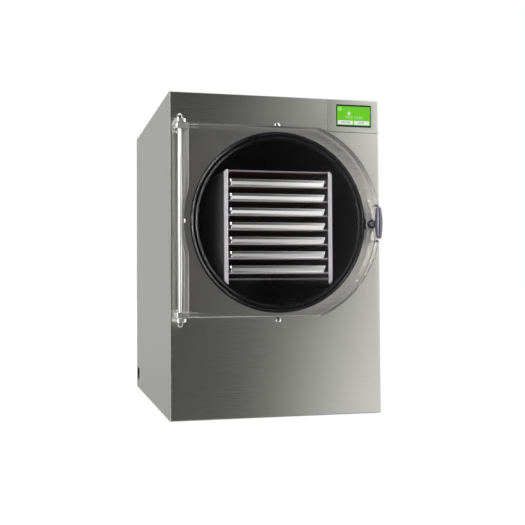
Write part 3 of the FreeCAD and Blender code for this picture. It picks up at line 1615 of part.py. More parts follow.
def fan_shape():
    """The fan's hub, shaft and pitched blades in one piece."""
    radius = value("fan_radius")
    thick = value("fan_thick")
    centre = point("0", "front_face + fan_start", "fan_z")
    hub = Part.makeCylinder(value("hub_radius"), thick, centre, BACKWARD)
    stem_start = point("0", "front_face + motor_start + 12", "fan_z")
    stem = Part.makeCylinder(value("shaft_radius"), value("fan_start - motor_start"), stem_start, BACKWARD)
    swept = Part.makeCylinder(radius, thick, centre, BACKWARD)
    shape = hub.fuse(stem)
    chord = radius * 0.72
    for turn in range(int(value("blade_count"))):
        blade = Part.makeBox(chord, value("blade_thick"), radius)
        blade.translate(FreeCAD.Vector(-chord / 2, -value("blade_thick") / 2, 10))
        blade.rotate(ORIGIN, UP, value("blade_pitch"))
        blade.translate(centre + BACKWARD * (thick / 2))
        blade.rotate(centre, BACKWARD, turn * 360 / value("blade_count"))
        shape = shape.fuse(blade.common(swept))
    return shape.removeSplitter()


def make_refrigerant_pipes():
    bend = value("pipe_bend")
    radius = value("coil_tube")
    below = "drum_z - coil_radius - coil_tube - 0.4"
    run = "deck_top - pipe_drop"
    dome = "comp_high - 1.5"
    middle = "front_face + cond_start + cond_thick / 2"
    comp = "front_face + comp_y"
    right = "comp_x + comp_port_right"
    left = "comp_x + comp_port_left"
    inlet = "cond_high + machine_gap"
    suction = [
        point("0", COIL_START_Y, below), point("0", COIL_START_Y, run), point(right, COIL_START_Y, run),
        point(right, comp, run), point(right, comp, dome),
    ]
    liquid = [
        point("0", COIL_END_Y, below), point("0", COIL_END_Y, run), point("cond_port", COIL_END_Y, run),
        point("cond_port", middle, run), point("cond_port", middle, inlet),
    ]
    discharge = [
        point(left, comp, dome), point(left, comp, run), point(left, middle, run),
        point("-cond_port", middle, run), point("-cond_port", middle, inlet),
    ]
    pipes = [tube(route, radius, bend) for route in (suction, liquid, discharge)]
    fixed("refrigerant_pipes", Part.makeCompound(pipes))


# ---- mains fittings on the back -----------------------------------------------------------------

BACK_FACE = "front_face + cab_depth"


def centred_box(sketch, z, half_width, half_height):
    """A box centred on the column of mains fittings, at height `z`."""
    sides = (f"mains_x - ({half_width})", f"mains_x + ({half_width})")
    return draw_box(sketch, *sides, f"{z} - ({half_height})", f"{z} + ({half_height})")


def rimmed_block(body, z, width, height, depth):
    """A snap-in fitting: a body behind the panel and a rim in front of it."""
    half_width = f"({width}) / 2"
    half_height = f"({height}) / 2"
    inside = new_sketch(body, "XZ_Plane", f"{BACK_FACE} - ({depth})")
    centred_box(inside, z, f"{half_width} - mains_rim", f"{half_height} - mains_rim")
    pad(body, inside, f"({depth}) + 1")
    rim = new_sketch(body, "XZ_Plane", f"{BACK_FACE} + 0.1")
    pad(body, centred_box(rim, z, half_width, half_height), "mains_proud")
    middle_x = value("mains_x")
    reach = value(half_width)
    back = value(f"{BACK_FACE} + 0.1")

    def is_rim_corner(middle, box):
        return box.YLength > 1 and middle.y > back and abs(abs(middle.x - middle_x) - reach) < 0.01

    dress(body, "Fillet", "mains_round", is_rim_corner)


def make_mains_inlet():
    inlet = new_body("power_inlet")
    rimmed_block(inlet, "inlet_z", "inlet_width", "inlet_height", "inlet_body")
    well = new_sketch(inlet, "XZ_Plane", f"{BACK_FACE} - inlet_body + well_floor")
    pocket(inlet, centred_box(well, "inlet_z", "well_half_width", "well_half_height"), "inlet_body + 4")
    blades = new_sketch(inlet, "XZ_Plane", f"{BACK_FACE} - inlet_body + well_floor - 1")
    low = "inlet_z - pin_offset"
    high = "inlet_z + pin_offset"
    for x, z in (("mains_x - pin_spread", low), ("mains_x + pin_spread", low), ("mains_x", high)):
        draw_box(blades, f"{x} - pin_half", f"{x} + pin_half", f"{z} - pin_offset", f"{z} + pin_offset")
    pad(inlet, blades, "inlet_body - pin_length")
    keep(inlet, "power_inlet")


def make_pump_outlet():
    outlet = new_body("pump_outlet")
    rimmed_block(outlet, "outlet_z", "outlet_size", "outlet_size", "inlet_body")
    slots = new_sketch(outlet, "XZ_Plane", f"{BACK_FACE} - inlet_body + well_floor + 1")
    for x in ("mains_x - socket_spread", "mains_x + socket_spread"):
        draw_box(slots, f"{x} - socket_half", f"{x} + socket_half", "outlet_z", "outlet_z + socket_high")
    earth = ("mains_x - earth_half", "mains_x + earth_half", "outlet_z - earth_low", "outlet_z - earth_high")
    draw_box(slots, *earth)
    pocket(outlet, slots, "inlet_body + 4")
    keep(outlet, "pump_outlet")


def make_mains_switch():
    frame = new_body("switch_frame")
    width = "switch_width + 2 * mains_rim"
    height = "switch_height + 2 * mains_rim"
    rimmed_block(frame, "switch_z", width, height, "inlet_body")
    well = new_sketch(frame, "XZ_Plane", f"{BACK_FACE} - inlet_body + 3")
    centred_box(well, "switch_z", "switch_width / 2 - 2", "switch_height / 2 - 2")
    pocket(frame, well, "inlet_body + 4")
    pivots = new_sketch(frame, "YZ_Plane", "mains_x - rocker_width / 2 - 1.2")
    draw_circle(pivots, f"{BACK_FACE} - rocker_axis", "switch_z", "rocker_pin + bore_play")
    pocket(frame, pivots, "rocker_width + 2.4")
    keep(frame, "switch_frame")

    rocker = new_body("power_switch", x="mains_x", y=f"{BACK_FACE} - rocker_axis", z="switch_z")
    profile = new_sketch(rocker, "YZ_Plane", "-rocker_width / 2")
    section = [
        ("-4", "-4"), ("rocker_crest - 2", "-rocker_half"), ("rocker_crest", "-rocker_half"),
        ("rocker_crest - 1.6", "0"), ("rocker_crest", "rocker_half"), ("rocker_crest - 2", "rocker_half"),
        ("-4", "4"),
    ]
    tilted = []
    for y, z in section:
        out = f"({y}) * cos(rocker_rest) + ({z}) * sin(rocker_rest)"
        up = f"({z}) * cos(rocker_rest) - ({y}) * sin(rocker_rest)"
        tilted.append((out, up))
    draw_outline(profile, tilted)
    pad(rocker, profile, "rocker_width")
    pivots = new_sketch(rocker, "YZ_Plane", "-rocker_width / 2 - 1")
    pad(rocker, draw_circle(pivots, "0", "0", "rocker_pin"), "rocker_width + 2")
    keep(rocker, "power_switch")


# ---- build, check and write ---------------------------------------------------------------------


def check_document():
    for thing in doc.Objects:
        if {"Invalid", "Error"} & set(thing.State):
            raise RuntimeError(f"{thing.Label}: {thing.State}")
    for piece in pieces:
        if piece.Shape.isNull() or not piece.Shape.isValid() or not piece.Shape.Solids:
            raise RuntimeError(f"{piece.Label}: its shape is not a valid solid")


make_front_panel()
make_control_plate()
make_display()
make_control_board()
make_side_panels()
make_top_panel()
make_back_panel()
make_base_pan()
make_deck()
make_feet()
make_cabinet_screws()
make_drum()
make_gasket()
make_drum_bolts()
make_insulation()
make_evaporator_coil()
make_saddles()
make_ports()
make_feedthrough()
make_drain()
make_rack_sides()
make_rack_plates()
make_trays()
make_hinge()
make_door()
make_hinge_blocks()
make_latch()
make_latch_handle()
make_compressor()
make_condenser()
make_fan()
make_refrigerant_pipes()
make_mains_inlet()
make_pump_outlet()
make_mains_switch()
doc.recompute()
check_document()
for piece in pieces:
    piece.Shape.exportStep(f"parts/{piece.Label}.step")
    print(f"{piece.Label}: {len(piece.Shape.Solids)} solid(s), {piece.Shape.Volume / 1000:.1f} cm3")
print(f"{len(pieces)} nodes")
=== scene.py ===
# %% [markdown]
# # A cabinet freeze dryer
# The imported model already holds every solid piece: the folded cabinet, the vacuum drum, the clear
# door, the rack and its trays. This lesson adds what solids alone can't show: brushed steel, clear
# acrylic, rubber, the lit screen, and the studio that they reflect.

import math

import bmesh
import bpy
from mathutils import Matrix, Vector


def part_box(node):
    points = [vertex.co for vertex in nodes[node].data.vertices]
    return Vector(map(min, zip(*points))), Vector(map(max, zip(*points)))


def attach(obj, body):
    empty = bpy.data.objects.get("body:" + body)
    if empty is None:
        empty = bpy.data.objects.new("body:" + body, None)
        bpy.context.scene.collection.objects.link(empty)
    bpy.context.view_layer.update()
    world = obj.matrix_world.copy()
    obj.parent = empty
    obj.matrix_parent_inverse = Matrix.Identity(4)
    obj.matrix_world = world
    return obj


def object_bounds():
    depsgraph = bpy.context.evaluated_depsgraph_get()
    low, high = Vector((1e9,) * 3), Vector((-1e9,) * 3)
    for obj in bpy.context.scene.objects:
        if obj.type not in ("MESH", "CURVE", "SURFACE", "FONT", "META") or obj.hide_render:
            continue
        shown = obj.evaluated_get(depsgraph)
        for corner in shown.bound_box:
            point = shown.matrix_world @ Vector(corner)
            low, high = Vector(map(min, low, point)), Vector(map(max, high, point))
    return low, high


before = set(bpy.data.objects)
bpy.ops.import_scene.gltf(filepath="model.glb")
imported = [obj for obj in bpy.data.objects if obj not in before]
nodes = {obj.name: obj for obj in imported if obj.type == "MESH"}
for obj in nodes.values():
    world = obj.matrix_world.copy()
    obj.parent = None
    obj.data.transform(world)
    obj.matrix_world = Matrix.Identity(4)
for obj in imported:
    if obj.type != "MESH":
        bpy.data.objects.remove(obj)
cad_low, cad_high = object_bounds()
print(len(nodes), "CAD nodes, box", [round(v, 3) for v in (*cad_low, *cad_high)])

# %% [markdown]
# ## A few small helpers
# Every finish below is a tree of shader nodes. A tree could be clicked together by hand, but here it
# is written out, so a helper that makes a node, sets its inputs and links whatever is a socket keeps
# each finish short enough to read. The sums, noises and grids that come back often have their own.

# %% Shader helpers
def add_node(tree, kind, settings=None, **inputs):
    """Makes a node, sets its plain settings, then its inputs: a socket is linked, a value is set.
    An input is named, with _ for a space, or numbered, as _0."""
    node = tree.nodes.new(kind)
    for name, setting in (settings or {}).items():
        setattr(node, name, setting)
    for name, given in inputs.items():
        socket = node.inputs[int(name[1:])] if name[0] == "_" else node.inputs[name.replace("_", " ")]
        if isinstance(given, bpy.types.NodeSocket):
            tree.links.new(given, socket)
        else:
            socket.default_value = given
    return node


def add_math(tree, operation, *values):
    """The result of one sum; each value is a number or a socket."""
    inputs = {f"_{place}": value for place, value in enumerate(values)}
    return add_node(tree, "ShaderNodeMath", {"operation": operation}, **inputs).outputs[0]


def add_noise(tree, vector, scale, detail, roughness):
    """The grey value of a cloudy pattern."""
    return add_node(
        tree, "ShaderNodeTexNoise", Vector=vector, Scale=scale, Detail=detail, Roughness=roughness
    ).outputs["Fac"]


def crossed_waves(tree, vector, directions, scale):
    """Two wave patterns at right angles, multiplied into a grid of threads or dots."""
    waves = [
        add_node(tree, "ShaderNodeTexWave", {"bands_direction": direction}, Vector=vector, Scale=scale)
        for direction in directions
    ]
    return add_math(tree, "MULTIPLY", *(wave.outputs["Fac"] for wave in waves))


def add_object(name, data):
    """An object for a mesh, curve, lamp or camera, linked to the scene."""
    made = bpy.data.objects.new(name, data)
    bpy.context.scene.collection.objects.link(made)
    return made


def new_material(name):
    """An empty material with its output node, ready for a shader."""
    material = bpy.data.materials.new(name)
    material.use_nodes = True
    tree = material.node_tree
    tree.nodes.clear()
    return material, tree, tree.nodes.new("ShaderNodeOutputMaterial")


def ramp(tree, factor, stops, mode="LINEAR"):
    """A colour ramp through (position, grey or colour) stops."""
    node = add_node(tree, "ShaderNodeValToRGB", Fac=factor)
    node.color_ramp.interpolation = mode
    points = node.color_ramp.elements
    while len(points) < len(stops):
        points.new(0.5)
    for point, (position, color) in zip(points, stops):
        point.position = position
        point.color = (*color, 1) if isinstance(color, tuple) else (color, color, color, 1)
    return node.outputs["Color"]


def object_pattern(tree, scale):
    """Object coordinates stretched by scale, so a pattern has a real size in metres."""
    place = add_node(tree, "ShaderNodeTexCoord").outputs["Object"]
    return add_node(tree, "ShaderNodeMapping", Vector=place, Scale=scale).outputs["Vector"]


print("shader helpers ready")

# %% [markdown]
# ## Brushed stainless steel
# The cabinet's sheets are brushed along one direction. Each fine groove spreads light across the
# grain, so a reflection stays sharp along it and smears across it. That could be modelled as
# thousands of scratches. Instead the shader's own anisotropy smears the reflection, and a stretched
# noise gives the fine streaks in roughness and height.

# %% Brushed steel
CLOUD_SHARE, STREAK_SHARE = 0.03, 0.04  # how far clouds and streaks each move the roughness
TONE_SWING = 0.015
STREAK_DEPTH = 0.000002  # metres


def brushed_steel(name, color, roughness, grain, smear, spread=1.0):
    """grain stretches the streak pattern; smear is the direction in which reflections spread."""
    material, tree, output = new_material(name)
    fine = add_noise(tree, object_pattern(tree, grain), 1.0, 3.0, 0.6)
    cloudy = add_noise(tree, object_pattern(tree, (1, 1, 1)), 5.0, 2.0, 0.5)
    smoothest = roughness - (CLOUD_SHARE + STREAK_SHARE) / 2
    worn = add_math(tree, "MULTIPLY_ADD", cloudy, CLOUD_SHARE, smoothest)
    rough = add_math(tree, "MULTIPLY_ADD", fine, STREAK_SHARE, worn)
    low = tuple(channel * (1 - TONE_SWING) for channel in color)
    high = tuple(min(1, channel * (1 + TONE_SWING)) for channel in color)
    tone = ramp(tree, fine, [(0.25, low), (0.75, high)])
    bump = add_node(tree, "ShaderNodeBump", Strength=0.2, Distance=STREAK_DEPTH, Height=fine)
    across = add_node(tree, "ShaderNodeCombineXYZ", X=smear[0], Y=smear[1], Z=smear[2])
    shader = add_node(
        tree, "ShaderNodeBsdfPrincipled", Base_Color=tone, Metallic=1.0, Roughness=rough,
        Anisotropic=spread, Normal=bump.outputs[0], Tangent=across.outputs[0],
    )
    tree.links.new(shader.outputs[0], output.inputs["Surface"])
    return material


front_steel = brushed_steel("front steel", (0.57, 0.57, 0.525), 0.28, (6, 6, 900), (0, 0, 1), spread=0.7)
plate_steel = brushed_steel("plate steel", (0.60, 0.61, 0.55), 0.32, (6, 6, 900), (0, 0, 1), spread=0.7)
side_steel = brushed_steel("side steel", (0.60, 0.61, 0.585), 0.36, (6, 6, 700), (0, 0, 1), spread=0.8)
roof_steel = brushed_steel("roof steel", (0.62, 0.63, 0.61), 0.42, (6, 700, 6), (0, 1, 0))
pan_steel = brushed_steel("pan steel", (0.5, 0.51, 0.51), 0.4, (30, 500, 30), (0, 1, 0), spread=0.3)
rack_steel = brushed_steel("rack steel", (0.93, 0.90, 0.91), 0.3, (8, 8, 1200), (0, 0, 1), spread=0.4)
rail_steel = brushed_steel("rail steel", (0.97, 0.95, 0.96), 0.5, (1200, 1200, 8), (1, 0, 0), spread=0.9)
tie_steel = brushed_steel("tie steel", (0.42, 0.39, 0.40), 0.5, (8, 8, 1200), (0, 0, 1), spread=0.4)
tray_steel = brushed_steel("tray steel", (0.90, 0.92, 0.89), 0.085, (5, 60, 1500), (0, 0, 1), spread=0.2)
print("brushed steels:", [m.name for m in bpy.data.materials if "steel" in m.name])

# %% [markdown]
# ## Chrome, rubber and plastics
# The hinge parts are polished chrome, the gasket is black rubber with a satin skin, the heater mats
# are dark red silicone on a woven glass cloth, and the small fittings are black plastic. One helper
# makes them all: a base colour with slight mottling, roughness that varies a little, and a fine
# grain in the height. Only the numbers differ. The gasket's two moulded lips also carry a clear coat,
# with a refractive index higher than grease would have. A mask puts it only between given radii round
# the drum's axis and mostly on the left: a painted highlight that draws thin bright arcs there.

# %% Plain finishes
DRUM_AXIS_HEIGHT = 0.5485  # metres above the floor


def painted_ring_highlight(tree, rings):
    """A clear coat inside any of the rings round the drum's axis, strongest on the left, hinge side: a
    painted highlight for thin bright arcs there."""
    place = add_node(tree, "ShaderNodeTexCoord").outputs["Object"]
    parts = add_node(tree, "ShaderNodeSeparateXYZ", Vector=place)
    above = add_math(tree, "SUBTRACT", parts.outputs["Z"], DRUM_AXIS_HEIGHT)
    flat = add_node(tree, "ShaderNodeCombineXYZ", X=parts.outputs["X"], Y=0.0, Z=above)
    reach = add_node(tree, "ShaderNodeVectorMath", {"operation": "LENGTH"}, _0=flat.outputs[0])
    total = 0.0
    for inner, outer in rings:
        middle, half = (inner + outer) / 2, (outer - inner) / 2
        inside = add_math(tree, "COMPARE", reach.outputs["Value"], middle, half)
        total = add_math(tree, "MAXIMUM", total, inside)
    across = add_math(tree, "ADD", parts.outputs["X"], 0.5)
    # Painted highlight: the coat is full on the left and falls to about a tenth towards the right.
    left_highlight = ramp(tree, across, [(0.0, 1.0), (0.32, 1.0), (0.40, 0.18), (1.0, 0.12)])
    return add_math(tree, "MULTIPLY", total, left_highlight)


def plain_finish(name, dark, light, roughness, grain=2000.0, depth=0.00002, metallic=0.0, vary=0.08,
                 coat=0.0, shine=0.5, highlight_rings=(), film_bend=1.5):
    """A mottled colour, an uneven gloss and a fine moulded or cast grain. The rings given round the
    drum's axis, as (inner, outer) radii in metres, carry a clear coat: a painted highlight, strongest on
    the left."""
    material, tree, output = new_material(name)
    if highlight_rings:
        coat = painted_ring_highlight(tree, highlight_rings)
    spots = object_pattern(tree, (1, 1, 1))
    mottle = add_noise(tree, spots, 40.0, 4.0, 0.6)
    fine = add_noise(tree, spots, grain, 2.0, 0.5)
    tone = ramp(tree, mottle, [(0.3, dark), (0.7, light)])
    rough = add_math(tree, "MULTIPLY_ADD", mottle, vary, max(0.0, roughness - vary / 2))
    bump = add_node(tree, "ShaderNodeBump", Strength=0.4, Distance=depth, Height=fine)
    shader = add_node(
        tree, "ShaderNodeBsdfPrincipled", Base_Color=tone, Metallic=metallic, Roughness=rough,
        Normal=bump.outputs[0], Coat_Weight=coat, Specular_IOR_Level=shine, Coat_IOR=film_bend,
    )
    tree.links.new(shader.outputs[0], output.inputs["Surface"])
    return material


satin_metal = plain_finish(
    "satin metal", (0.80, 0.80, 0.78), (0.9, 0.9, 0.88), 0.32, 700.0, 0.000004, 1.0, 0.1
)
chrome = plain_finish(
    "chrome", (0.80, 0.80, 0.78), (0.86, 0.86, 0.84), 0.07, 300.0, 0.000002, 1.0, 0.04
)
screw_steel = plain_finish(
    "screw steel", (0.55, 0.55, 0.54), (0.66, 0.66, 0.65), 0.25, 800.0, 0.000004, 1.0
)
# Painted highlight: the two lips carry a clear coat with a refractive index of 2.3, well above grease,
# strongest on the left side.
gasket_rubber = plain_finish(
    "gasket rubber", (0.003, 0.003, 0.004), (0.005, 0.005, 0.007), 0.14, vary=0.05, shine=0.15,
    highlight_rings=((0.2335, 0.2400), (0.2450, 0.2515)), film_bend=2.3,
)
foot_rubber = plain_finish("foot rubber", (0.015, 0.015, 0.015), (0.03, 0.03, 0.03), 0.7)
foam = plain_finish("foam", (0.68, 0.58, 0.34), (0.78, 0.70, 0.46), 0.9, 400.0, 0.0003)
copper = plain_finish("copper", (0.62, 0.32, 0.2), (0.76, 0.44, 0.3), 0.3, 200.0, 0.00001, 1.0, 0.2)
tube_plastic = plain_finish("tube plastic", (0.62, 0.65, 0.65), (0.72, 0.75, 0.75), 0.3)
latch_black = plain_finish(
    "latch black", (0.022, 0.018, 0.045), (0.045, 0.04, 0.085), 0.24, 1500.0, coat=0.5
)
fitting_black = plain_finish("fitting black", (0.012, 0.012, 0.013), (0.022, 0.022, 0.023), 0.45)
bezel_black = plain_finish("bezel black", (0.008, 0.014, 0.008), (0.012, 0.02, 0.012), 0.15)
compressor_black = plain_finish(
    "compressor black", (0.01, 0.01, 0.01), (0.02, 0.02, 0.02), 0.25, 300.0
)
fan_plastic = plain_finish("fan plastic", (0.03, 0.03, 0.032), (0.045, 0.045, 0.05), 0.4)
fin_metal = plain_finish(
    "fin metal", (0.6, 0.61, 0.62), (0.74, 0.75, 0.76), 0.35, 600.0, 0.00001, 1.0
)
board_green = plain_finish("board green", (0.01, 0.11, 0.05), (0.02, 0.17, 0.08), 0.35)
handle_grey = plain_finish(
    "handle grey", (0.15, 0.14, 0.18), (0.19, 0.18, 0.22), 0.3, 1500.0, metallic=0.7, coat=0.5
)
# Painted shade: the drum is stainless steel, but it is near-black here for its dark inside behind the
# door.
drum_painted_shade = plain_finish(
    "drum painted shade", (0.004, 0.004, 0.005), (0.008, 0.008, 0.009), 0.14, 3000.0, 0.000003, vary=0.05
)
print(len(bpy.data.materials), "finishes so far")

# %% [markdown]
# ## Heater mats
# Each mat is silicone rubber pressed on woven glass cloth, so its face shows a fine square weave.
# Two wave textures at right angles give the threads a real pitch of about a millimetre.

# %% Heater rubber
THREAD_PITCH = 0.001  # metres from one thread to the next
WAVE_PER_METRE = 0.314  # the texture's scale that gives one wave in a metre


def woven_rubber(name, dark, light, thread):
    material, tree, output = new_material(name)
    weave = crossed_waves(tree, object_pattern(tree, (1, 1, 1)), "XY", WAVE_PER_METRE / thread)
    tone = ramp(tree, weave, [(0.0, dark), (1.0, light)])
    bump = add_node(tree, "ShaderNodeBump", Strength=0.5, Distance=0.0001, Height=weave)
    shader = add_node(
        tree, "ShaderNodeBsdfPrincipled", Base_Color=tone, Roughness=0.35, Normal=bump.outputs[0]
    )
    tree.links.new(shader.outputs[0], output.inputs["Surface"])
    return material


heater_rubber = woven_rubber("heater rubber", (0.16, 0.03, 0.028), (0.28, 0.06, 0.05), THREAD_PITCH)
print("heater rubber has a weave of", THREAD_PITCH * 1000, "mm")

# %% [markdown]
# ## Clear acrylic
# The door is a slab of clear acrylic about as thick as a hand. A thin transparent sheet would hide
# its thickness, so it is a real refracting solid: light bends at both faces, and its cut edges show
# as thin bright lines. The two faces are polished, while the sawn side walls, the bevels and the
# drilled holes are sanded. Depth through the slab tells them apart: the faces are at its two ends.

# %% Acrylic
DOOR_MIDDLE, DOOR_THICKNESS = -0.39805, 0.05  # metres from the middle of the cabinet, front to back
POLISHED_SKIN = 0.0002  # only this much under each face counts as the face
ACRYLIC_BEND = 1.49  # refractive index


def clear_acrylic(name, tint, edge_roughness):
    material, tree, output = new_material(name)
    spots = object_pattern(tree, (1, 1, 1))
    smudge = add_math(tree, "MULTIPLY", add_noise(tree, spots, 9.0, 3.0, 0.6), 0.012)
    depth = add_node(tree, "ShaderNodeSeparateXYZ", Vector=spots).outputs["Y"]
    on_edge = add_math(tree, "COMPARE", depth, DOOR_MIDDLE, DOOR_THICKNESS / 2 - POLISHED_SKIN)
    rough = add_math(tree, "MULTIPLY_ADD", on_edge, edge_roughness, smudge)
    shader = add_node(
        tree, "ShaderNodeBsdfPrincipled", Base_Color=(*tint, 1), Roughness=rough, IOR=ACRYLIC_BEND,
        Transmission_Weight=1.0, Specular_Tint=(0.3, 0.3, 0.3, 1),
    )
    tree.links.new(shader.outputs[0], output.inputs["Surface"])
    return material


acrylic = clear_acrylic("clear acrylic", (0.99, 0.985, 0.995), 0.35)
print("acrylic, refractive index", ACRYLIC_BEND)

# %% [markdown]
# ## The lit screen
# The touch screen glows. A lamp behind glass would light the cabinet, but a small screen in a bright
# room is only as bright as paper, so the face gives off its colour at a plain level and keeps a
# glossy surface for reflections. A fine grid of dots gives it the grain of a real display.

# %% Screen glow
DOT_SCALE = 1500.0  # dots about a fifth of a millimetre apart


def lit_face(name, color, strength):
    material, tree, output = new_material(name)
    dots = crossed_waves(tree, object_pattern(tree, (1, 1, 1)), "XZ", DOT_SCALE)
    dim = tuple(channel * 0.85 for channel in color)
    tone = ramp(tree, dots, [(0.0, dim), (1.0, color)])
    shader = add_node(
        tree, "ShaderNodeBsdfPrincipled", Base_Color=tone, Roughness=0.2, Emission_Color=tone,
        Emission_Strength=strength,
    )
    tree.links.new(shader.outputs[0], output.inputs["Surface"])
    return material


screen_green = lit_face("screen green", (0.12, 0.56, 0.001), 0.45)
screen_white = lit_face("screen white", (0.8, 0.84, 0.78), 0.4)
screen_pale = lit_face("screen pale", (0.42, 0.78, 0.25), 0.45)
screen_ink = lit_face("screen ink", (0.01, 0.014, 0.06), 0.0)
print("screen finishes:", [m.name for m in bpy.data.materials if "screen" in m.name])

# %% [markdown]
# ## Dress the CAD nodes
# Each node carries one finish. The names say what each piece is made of, so a plain table pairs them.

# %% Finishes for the nodes
finishes = {
    front_steel: ["front_panel"],
    plate_steel: ["control_plate"],
    side_steel: ["side_panel_left", "side_panel_right", "back_panel"],
    roof_steel: ["top_panel"],
    pan_steel: ["base_pan", "chamber_deck", "drum_saddles", "fan_shroud"],
    rack_steel: ["rack_top", "rack_shelves"],
    tie_steel: ["rack_tie"],
    rail_steel: ["rack_side_left", "rack_side_right"],
    tray_steel: [f"tray_{number}" for number in range(1, 8)],
    chrome: ["hinge_rod", "hinge_washers", "acorn_nuts", "drum_bolts"],
    satin_metal: [
        "hinge_bracket_upper", "hinge_bracket_lower", "hinge_block_upper", "hinge_block_lower",
    ],
    screw_steel: ["cabinet_screws", "hinge_screws", "block_screws", "vacuum_port"],
    gasket_rubber: ["door_gasket"],
    foot_rubber: ["rubber_feet"],
    foam: ["insulation_jacket"],
    copper: ["evaporator_coil", "refrigerant_pipes"],
    tube_plastic: ["drain_tube"],
    latch_black: ["latch_bushing", "latch_receiver", "latch_pins", "latch_shaft"],
    handle_grey: ["latch_handle"],
    fitting_black: ["heater_feedthrough", "power_inlet", "pump_outlet", "switch_frame", "power_switch"],
    bezel_black: ["display_frame"],
    screen_green: ["display_screen"],
    board_green: ["control_board"],
    compressor_black: ["compressor", "fan_motor"],
    fan_plastic: ["fan_blade"],
    fin_metal: ["condenser"],
    drum_painted_shade: ["vacuum_drum"],
    heater_rubber: ["heater_mats"],
    acrylic: ["door_panel"],
}
for finish, names in finishes.items():
    for name in names:
        nodes[name].data.materials.clear()
        nodes[name].data.materials.append(finish)
left_over = sorted(set(nodes) - {name for names in finishes.values() for name in names})
print("nodes without a finish:", left_over)

# %% [markdown]
# ## Smooth the round pieces
# A CAD node arrives as loose flat triangles. Its vertices may not be moved, but a modifier may work
# on top of them: this Geometry Nodes tree merges touching corners and shades every edge smooth that
# turns by less than a set angle, so cylinders look round and folds stay crisp.

# %% Round shading tree
MERGE_DISTANCE = 0.00001  # metres
PLAIN_ANGLE = math.radians(28)
TRAY_ANGLE = math.radians(14)  # less than the bend where a tray's wall leaves its floor


def round_shading_tree():
    tree = bpy.data.node_groups.new("round shading", "GeometryNodeTree")
    face = tree.interface
    face.new_socket("Geometry", in_out="INPUT", socket_type="NodeSocketGeometry")
    merge = face.new_socket("Merge Distance", in_out="INPUT", socket_type="NodeSocketFloat")
    merge.default_value = MERGE_DISTANCE
    angle = face.new_socket("Sharp Angle", in_out="INPUT", socket_type="NodeSocketFloat")
    angle.default_value = PLAIN_ANGLE
    face.new_socket("Geometry", in_out="OUTPUT", socket_type="NodeSocketGeometry")
    given = tree.nodes.new("NodeGroupInput")
    result = tree.nodes.new("NodeGroupOutput")
    merged = add_node(
        tree, "GeometryNodeMergeByDistance", Geometry=given.outputs[0], Distance=given.outputs[1]
    )
    turn = add_node(tree, "GeometryNodeInputMeshEdgeAngle")
    gentle = add_node(
        tree, "FunctionNodeCompare", {"data_type": "FLOAT", "operation": "LESS_THAN"},
        _0=turn.outputs["Unsigned Angle"], _1=given.outputs[2],
    )
    faces = add_node(
        tree, "GeometryNodeSetShadeSmooth", {"domain": "FACE"}, Geometry=merged.outputs[0],
        Shade_Smooth=True,
    )
    edges = add_node(
        tree, "GeometryNodeSetShadeSmooth", {"domain": "EDGE"}, Geometry=faces.outputs[0],
        Shade_Smooth=gentle.outputs[0],
    )
    tree.links.new(edges.outputs[0], result.inputs[0])
    return tree


round_shading = round_shading_tree()
angle_input = next(
    item.identifier for item in round_shading.interface.items_tree if item.name == "Sharp Angle"
)
for name, node in nodes.items():
    shading = node.modifiers.new("round shading", "NODES")
    shading.node_group = round_shading
    if name.startswith("tray_"):
        shading[angle_input] = TRAY_ANGLE
print("round shading on", len(nodes), "nodes")

# %% [markdown]
# ## What the screen shows
# The face of the touch screen carries a small gear, an ice crystal, the time and two pale buttons,
# with a dark margin above and below. They are light, with no thickness to speak of, but a flat decal
# would fight with the face for depth, so each is a thin raised mesh a tenth of a millimetre proud.

# %% Screen layout
screen_low, screen_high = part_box("display_screen")
SCREEN_FACE = screen_low.y
PRINT_RISE = 0.0001  # metres in front of the face
PRINT_ROOT = 0.00002  # metres behind it, so that no gap shows
screen_width = screen_high.x - screen_low.x
screen_height = screen_high.z - screen_low.z
print("screen", round(screen_width * 1000), "by", round(screen_height * 1000), "mm")


def on_screen(across, up):
    """A point on the screen's face, from its lower left corner, as shares of its width and height."""
    return Vector((screen_low.x + across * screen_width, SCREEN_FACE, screen_low.z + up * screen_height))


def flat_print(name, outline, finish, rise=PRINT_RISE):
    """A thin raised plate from an outline of points on the screen's face, seen from the front."""
    count = len(outline)
    front = [Vector((point.x, SCREEN_FACE - rise, point.z)) for point in outline]
    back = [Vector((point.x, SCREEN_FACE + PRINT_ROOT, point.z)) for point in outline]
    faces = [tuple(range(count))]
    for step in range(count):
        after = (step + 1) % count
        faces.append((step, step + count, after + count, after))
    mesh = bpy.data.meshes.new(name)
    mesh.from_pydata(front + back, [], faces)
    mesh.materials.append(finish)
    piece = add_object(name, mesh)
    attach(piece, "cabinet")
    return piece


def rounded_bar(left, right, low, high, corner, steps=6):
    """The outline of a bar with round corners, counterclockwise seen from the front."""
    start = on_screen(left, low)
    end = on_screen(right, high)
    points = []
    for centre_x, centre_z, turn in (
        (end.x - corner, start.z + corner, -90), (end.x - corner, end.z - corner, 0),
        (start.x + corner, end.z - corner, 90), (start.x + corner, start.z + corner, 180),
    ):
        for step in range(steps + 1):
            angle = math.radians(turn + 90 * step / steps)
            across, up = corner * math.cos(angle), corner * math.sin(angle)
            points.append(Vector((centre_x + across, 0, centre_z + up)))
    return points


BUTTON_CORNER = 0.0012  # metres
for name, left, right in (("screen_button_left", 0.02, 0.475), ("screen_button_right", 0.51, 0.97)):
    flat_print(name, rounded_bar(left, right, 0.075, 0.265, BUTTON_CORNER), screen_white)
for name, low, high in (("screen_margin_top", 0.965, 1.0), ("screen_margin_bottom", 0.0, 0.045)):
    flat_print(name, rounded_bar(0.0, 1.0, low, high, 0.0002), screen_ink)


def star_outline(centre, radius, repeats, stops, start=0.0):
    """A shape that repeats round a centre. stops are (share of one repeat, share of the radius)."""
    points = []
    for repeat in range(repeats):
        for share, reach in stops:
            angle = 2 * math.pi * (repeat + share) / repeats + start
            points.append(centre + Vector((math.cos(angle), 0, math.sin(angle))) * radius * reach)
    return points


